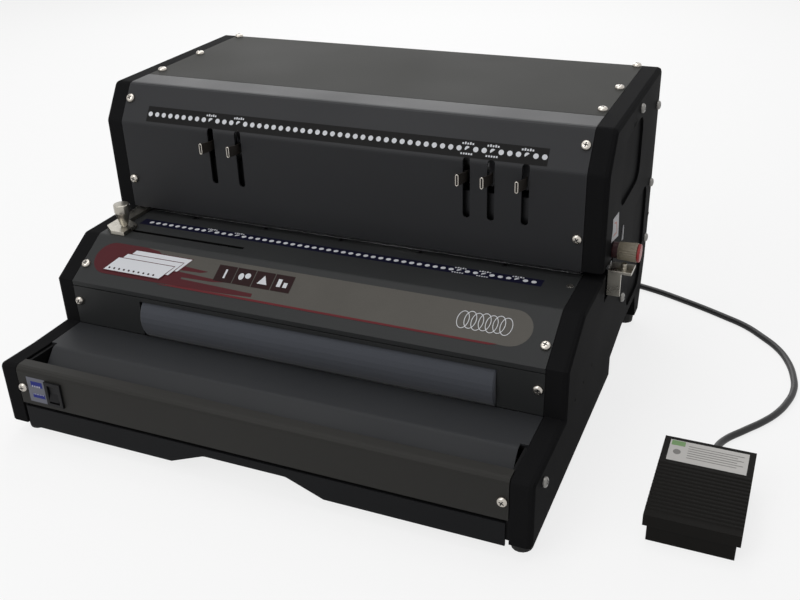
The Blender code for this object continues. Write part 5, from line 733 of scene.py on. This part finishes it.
bpy.ops.mesh.primitive_cylinder_add(
    vertices=48, radius=GRIP[3] * CAP_SHARE, depth=CAP_LENGTH,
    location=at(GRIP[0] + GRIP[1] + CAP_LENGTH / 2 + CAP_GAP, *DIAL_PLACE),
    rotation=(0, math.pi / 2, 0))
end_cap = bpy.context.object
join([end_cap], "dial_end_cap")
use_modifier(end_cap, "BEVEL", width=CAP_SOFT, segments=4, limit_method="ANGLE",
             angle_limit=math.radians(30))
bpy.ops.object.shade_smooth_by_angle(angle=math.radians(35))
end_cap.data.materials.append(finish("dial_cap_red", (0.34, 0.034, 0.034), 0.40, grain=900.0,
                                     specular=0.3))
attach(end_cap, "dial")
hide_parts("dial_cap")
bpy.ops.mesh.primitive_cylinder_add(
    vertices=32, radius=COLLAR_RADIUS, depth=COLLAR_LENGTH,
    location=at(PANEL_FACE_X + COLLAR_GAP + COLLAR_LENGTH / 2, *DIAL_PLACE),
    rotation=(0, math.pi / 2, 0))
collar = bpy.context.object
bpy.ops.object.mode_set(mode="EDIT")
bpy.ops.mesh.select_all(action="SELECT")
bpy.ops.mesh.bevel(offset=COLLAR_SOFT, segments=2, affect="EDGES")
bpy.ops.object.mode_set(mode="OBJECT")
join([collar], "dial_collar")
collar.data.materials.append(finish("dial_maroon", (0.030, 0.006, 0.008), 0.45, grain=900.0,
                                    specular=0.3))
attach(collar, "dial")
paper_white = finish("sticker_white", (0.50, 0.50, 0.52), 0.55, grain=2500.0, relief=0.000006,
                     shift=0.06, edge=0.0, specular=0.3)
printed("dial_scale", [[(0.1885, 0.1425), (0.2140, 0.1372), (0.2125, 0.1480), (0.2100, 0.1582),
                        (0.1900, 0.1602), (0.1912, 0.1512)]], right_face, 0, paper_white)
printed("dial_scale_line", [[(0.1950, 0.1445), (0.2070, 0.1425), (0.2076, 0.1455),
                             (0.2040, 0.1530), (0.1960, 0.1555), (0.1954, 0.1545),
                             (0.2030, 0.1515), (0.2060, 0.1452), (0.2056, 0.1440),
                             (0.1952, 0.1458)]], right_face, 2 * PRINT_HALF,
        finish("ink_coral", (0.45, 0.16, 0.12), 0.5, grain=2000.0, relief=0.000004, edge=0.0))
printed("dial_pointer", [[(0.2290, 0.1270), (0.2325, 0.1270), (0.2322, 0.1385),
                          (0.2300, 0.1385)]], right_face, 0, paper_white, half=0.0003)

# ---------------------------------------------------------------- power switch
# Rocker switch in a snap-in housing, with a pale foil beside it that carries two blue blocks.
coat_nodes(moulded, "switch_bezel", "switch_rocker")
fascia_face = plane_on(at(0, 0, 0), (1, 0, 0), (0, 0, 1))
printed("switch_foil", [[(-0.1838, 0.0342), (-0.1667, 0.0342), (-0.1667, 0.0556),
                         (-0.1838, 0.0556)]], fascia_face, 0,
        finish("foil_grey", (0.125, 0.130, 0.160), 0.5, grain=1800.0, relief=0.000006, edge=0.0,
               shift=0.12, specular=0.3))
printed("switch_foil_blocks", [rectangle(-0.1803, 0.0476, -0.1698, 0.0524),
                               rectangle(-0.1803, 0.0382, -0.1692, 0.0418)], fascia_face,
        2 * PRINT_HALF, finish("ink_blue", (0.022, 0.030, 0.190), 0.5, grain=1800.0,
                               relief=0.000004, edge=0.0, specular=0.1))
printed("switch_foil_marks",
        [rectangle(-0.1795 + 0.0021 * mark, 0.0476, -0.1784 + 0.0021 * mark, 0.0489)
         for mark in range(4)]
        + [rectangle(-0.1796 + 0.0015 * mark, 0.0409, -0.1790 + 0.0015 * mark, 0.0418)
           for mark in range(7)], fascia_face, 4 * PRINT_HALF, paper_white)

# ---------------------------------------------------------------- feet
# Turned rubber feet pressed into the lower edges of the side panels.
coat_nodes(rubber, "front_left_foot", "front_right_foot", "rear_left_foot", "rear_right_foot")

# ---------------------------------------------------------------- foot pedal
# Ribbed treadle on a hinge pin over a moulded base, with a plain pale label behind the ribs and
# a rubber grommet where the lead comes out.
pedal_black = finish("pedal_black", (0.0072, 0.0066, 0.0058), 0.50, grain=1500.0, relief=0.00004,
                     specular=0.07)
coat_nodes(pedal_black, "pedal_base", "pedal_treadle")
coat_nodes(ground_steel, "pedal_hinge_pin")
SPRING_PLACE = (0.298, 0.06872)
SPRING_RADIUS = 0.0050
SPRING_WIRE = 0.0006
SPRING_REACH = (0.0030, 0.0209)
SPRING_TURNS = 6
SPRING_STEPS = 20
spring_curve = bpy.data.curves.new("treadle_spring", "CURVE")
spring_curve.dimensions = "3D"
spring_curve.bevel_depth = SPRING_WIRE
spring_curve.bevel_resolution = 3
spring_curve.use_fill_caps = True
spring_line = spring_curve.splines.new("POLY")
spring_line.points.add(SPRING_TURNS * SPRING_STEPS)
for step, knot in enumerate(spring_line.points):
    angle = 2 * math.pi * step / SPRING_STEPS
    share = min(max((step / SPRING_STEPS - 1) / (SPRING_TURNS - 2), 0), 1)
    knot.co = (*at(SPRING_PLACE[0] + SPRING_RADIUS * math.cos(angle),
                   SPRING_PLACE[1] + SPRING_RADIUS * math.sin(angle),
                   SPRING_REACH[0] + (SPRING_REACH[1] - SPRING_REACH[0]) * share
                   + SPRING_WIRE), 1.0)
spring = bpy.data.objects.new("treadle_spring", spring_curve)
bpy.context.collection.objects.link(spring)
select_only(spring)
bpy.ops.object.convert(target="MESH")
spring = bpy.context.object
bpy.ops.object.shade_smooth()
spring.data.materials.append(ground_steel)
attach(spring, "machine")
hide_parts("pedal_spring")
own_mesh(spring)
coat_nodes(rubber, "pedal_grommet")
TREADLE_REAR = (0.298, 0.1273, 0.0300)
TREADLE_FRONT_Z = 0.0225
TREADLE_LENGTH = 0.081
PEDAL_LABEL_LIFT = 0.00002
TREADLE_TILT = math.atan2(TREADLE_REAR[2] - TREADLE_FRONT_Z, TREADLE_LENGTH)
treadle_face = plane_on(at(*TREADLE_REAR), (1, 0, 0),
                        (0, math.cos(TREADLE_TILT), math.sin(TREADLE_TILT)))
printed("pedal_label", [rectangle(-0.0262, -0.0245, 0.0262, -0.0030)], treadle_face,
        PEDAL_LABEL_LIFT,
        finish("pedal_label_grey", (0.56, 0.545, 0.525), 0.55, grain=2200.0, relief=0.000006,
               shift=0.10, edge=0.0, specular=0.3), body="treadle")
printed("pedal_label_lines",
        [rectangle(-0.0135, -0.0075 - 0.0024 * line, 0.0232 - 0.004 * (line % 2),
                   -0.0069 - 0.0024 * line) for line in range(6)]
        + [ellipse(-0.0205, -0.0150, 0.0026, 0.0026, 24)], treadle_face,
        PEDAL_LABEL_LIFT + 2 * PRINT_HALF,
        finish("ink_grey", (0.22, 0.215, 0.205), 0.55, grain=2200.0, relief=0.000004, edge=0.0,
               specular=0.3), body="treadle")
printed("pedal_label_patch", [rectangle(-0.0252, -0.0085, -0.0160, -0.0036)], treadle_face,
        PEDAL_LABEL_LIFT + 2 * PRINT_HALF,
        finish("ink_green", (0.22, 0.36, 0.17), 0.55, grain=2200.0, relief=0.000004, edge=0.0,
               specular=0.1), body="treadle")

# ---------------------------------------------------------------- pedal lead
# Round black low-voltage lead. It runs from the pedal's grommet along the table, lies in a coil
# behind the machine and rises to its plug in the rear socket.
CORD_DIAMETER = 0.0054
CORD_REST = CORD_DIAMETER / 2 + 0.0001
COIL_CENTRE = (0.105, 0.450)
COIL_PITCH = 0.006
COIL_TURNS = 3
COIL_STEPS = 24
COIL_MID = 5.5 * CORD_DIAMETER
GROMMET_FACE = (0.2995, 0.1356, 0.0085)
PEDAL_ROUTE = [
    (0.2999, 0.1560, 0.0048), (0.3040, 0.1740, 0.0028), (0.3172, 0.1931, 0.0028),
    (0.3284, 0.2085, 0.0028), (0.3369, 0.2233, 0.0028), (0.3432, 0.2405, 0.0028),
    (0.3472, 0.2621, 0.0028), (0.3461, 0.2810, 0.0028), (0.3388, 0.3088, 0.0028),
    (0.3293, 0.3268, 0.0028), (0.3172, 0.3409, 0.0028), (0.3012, 0.3562, 0.0028),
    (0.2824, 0.3673, 0.0028), (0.2436, 0.3865, 0.0028), (0.2067, 0.4010, 0.0028),
    (0.1700, 0.4085, 0.0028), (0.1350, 0.4105, 0.0028)]
SOCKET_ROUTE = [
    (0.1400, 0.4860, 0.0110), (0.1570, 0.4760, 0.0200), (0.1640, 0.4590, 0.0350),
    (0.1625, 0.4400, 0.0550), (0.1600, 0.4220, 0.0690)]
PLUG_TAIL = (0.160, 0.3954, 0.075)


def coil_points():
    """Two layers of turns: inwards, half a turn up, and outwards again."""
    half_climb = COIL_STEPS // 4
    turn_steps = COIL_TURNS * COIL_STEPS
    total = 2 * turn_steps + 2 * half_climb
    inner = COIL_MID - COIL_PITCH * COIL_TURNS / 2
    points = []
    for step in range(total + 1):
        angle = -math.pi / 2 - 2 * math.pi * step / COIL_STEPS
        radius = inner + COIL_PITCH * (abs(step - total / 2) - half_climb) / COIL_STEPS
        climb = min(max((step - turn_steps) / (2 * half_climb), 0), 1)
        points.append((COIL_CENTRE[0] + radius * math.cos(angle),
                       COIL_CENTRE[1] + radius * math.sin(angle), CORD_REST + COIL_PITCH * climb))
    return points


lead_points = [at(*spot) for spot in
               [GROMMET_FACE] + PEDAL_ROUTE + coil_points() + SOCKET_ROUTE + [PLUG_TAIL]]
lead_curve = bpy.data.curves.new("pedal_lead", "CURVE")
lead_curve.dimensions = "3D"
lead_curve.bevel_depth = CORD_DIAMETER / 2
lead_curve.bevel_resolution = 5
lead_curve.resolution_u = 5
lead_curve.use_fill_caps = True
lead_line = lead_curve.splines.new("BEZIER")
lead_line.bezier_points.add(len(lead_points) - 1)
for knot, spot in zip(lead_line.bezier_points, lead_points):
    knot.co = spot
    knot.handle_left_type = "AUTO"
    knot.handle_right_type = "AUTO"
lead = bpy.data.objects.new("pedal_lead", lead_curve)
bpy.context.collection.objects.link(lead)
lead_curve.materials.append(finish("lead_sheath", (0.012, 0.012, 0.0125), 0.42, grain=1200.0,
                                   edge=0.0, specular=0.35))
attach(lead, "machine")
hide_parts("pedal_cord", "cord_coil", "socket_cord")

# ---------------------------------------------------------------- studio
# Pale floor and white surroundings as the camera and the glossy surfaces see them, three soft
# panels behind, in front and above, and the camera at the photograph's place and angle.
FLOOR_SIZE = 8.0
FLOOR_SHADE = 0.88
FLOOR_GLOW = 0.80
WORLD_STRENGTH = 0.22
WHITE = (1.0, 1.0, 1.0, 1.0)
bpy.ops.mesh.primitive_plane_add(size=FLOOR_SIZE, location=(0, 0, 0))
floor = bpy.context.object
floor.name = "studio_floor"


def seen_directly(tree):
    """Socket that is 1 for camera, glossy and transmission rays."""
    rays = tree.nodes.new("ShaderNodeLightPath")
    seen = rays.outputs["Is Camera Ray"]
    for name in ("Is Glossy Ray", "Is Transmission Ray"):
        either = tree.nodes.new("ShaderNodeMath")
        either.operation = "MAXIMUM"
        tree.links.new(seen, either.inputs[0])
        tree.links.new(rays.outputs[name], either.inputs[1])
        seen = either.outputs["Value"]
    return seen


floor_look = bpy.data.materials.new("studio_floor")
floor_look.use_nodes = True
floor_tree = floor_look.node_tree
matt = floor_tree.nodes["Principled BSDF"]
matt.inputs["Base Color"].default_value = (FLOOR_SHADE, FLOOR_SHADE, FLOOR_SHADE, 1.0)
matt.inputs["Roughness"].default_value = 0.95
matt.inputs["Specular IOR Level"].default_value = 0.1
glow = floor_tree.nodes.new("ShaderNodeEmission")
glow.inputs["Color"].default_value = WHITE
glow.inputs["Strength"].default_value = 1.0
part_glow = floor_tree.nodes.new("ShaderNodeMath")
part_glow.operation = "MULTIPLY"
part_glow.inputs[1].default_value = FLOOR_GLOW
shown = floor_tree.nodes.new("ShaderNodeMixShader")
floor_tree.links.new(seen_directly(floor_tree), part_glow.inputs[0])
floor_tree.links.new(part_glow.outputs["Value"], shown.inputs["Fac"])
floor_tree.links.new(matt.outputs["BSDF"], shown.inputs[1])
floor_tree.links.new(glow.outputs["Emission"], shown.inputs[2])
floor_tree.links.new(shown.outputs["Shader"],
                     floor_tree.nodes["Material Output"].inputs["Surface"])
floor.data.materials.append(floor_look)

world = bpy.data.worlds.new("studio")
bpy.context.scene.world = world
world.use_nodes = True
world_tree = world.node_tree
back = world_tree.nodes["Background"]
back.inputs["Color"].default_value = WHITE
back.inputs["Strength"].default_value = WORLD_STRENGTH
bright = world_tree.nodes.new("ShaderNodeBackground")
bright.inputs["Color"].default_value = WHITE
bright.inputs["Strength"].default_value = 1.0
choose = world_tree.nodes.new("ShaderNodeMixShader")
world_tree.links.new(seen_directly(world_tree), choose.inputs["Fac"])
world_tree.links.new(back.outputs["Background"], choose.inputs[1])
world_tree.links.new(bright.outputs["Background"], choose.inputs[2])
world_tree.links.new(choose.outputs["Shader"], world_tree.nodes["World Output"].inputs["Surface"])


def lamp(name, place, target, size, power):
    """Square soft lamp that faces a target."""
    data = bpy.data.lights.new(name, "AREA")
    data.size = size
    data.energy = power
    body = bpy.data.objects.new(name, data)
    body.location = place
    body.rotation_euler = (Vector(target) - Vector(place)).to_track_quat("-Z", "Y").to_euler()
    bpy.context.collection.objects.link(body)


lamp("back_panel", (-0.57, 1.30, 0.95), (0, 0, 0.15), 1.2, 9.0)
lamp("front_panel", (-0.60, -1.24, 1.20), (0, 0, 0.12), 1.1, 10.0)
lamp("top_panel", (-0.20, 0.10, 2.10), (0, 0, 0.10), 1.6, 15.0)

CAMERA_PLACE = (0.26875, -0.6477, 0.4456)
CAMERA_RIGHT = (0.92143, 0.38749, -0.02856)
CAMERA_UP = (-0.15779, 0.44035, 0.88385)
CAMERA_BACK = (0.35506, -0.80990, 0.46690)
CAMERA_LENS = 44.885
CAMERA_SENSOR = 36.0
camera_data = bpy.data.cameras.new("photo_camera")
camera_data.sensor_fit = "HORIZONTAL"
camera_data.sensor_width = CAMERA_SENSOR
camera_data.lens = CAMERA_LENS
camera_data.clip_start = 0.05
camera = bpy.data.objects.new("photo_camera", camera_data)
turn = Matrix((CAMERA_RIGHT, CAMERA_UP, CAMERA_BACK)).transposed().to_4x4()
camera.matrix_world = Matrix.Translation(CAMERA_PLACE) @ turn
bpy.context.collection.objects.link(camera)
bpy.context.scene.camera = camera
bpy.context.scene.view_settings.view_transform = "Standard"
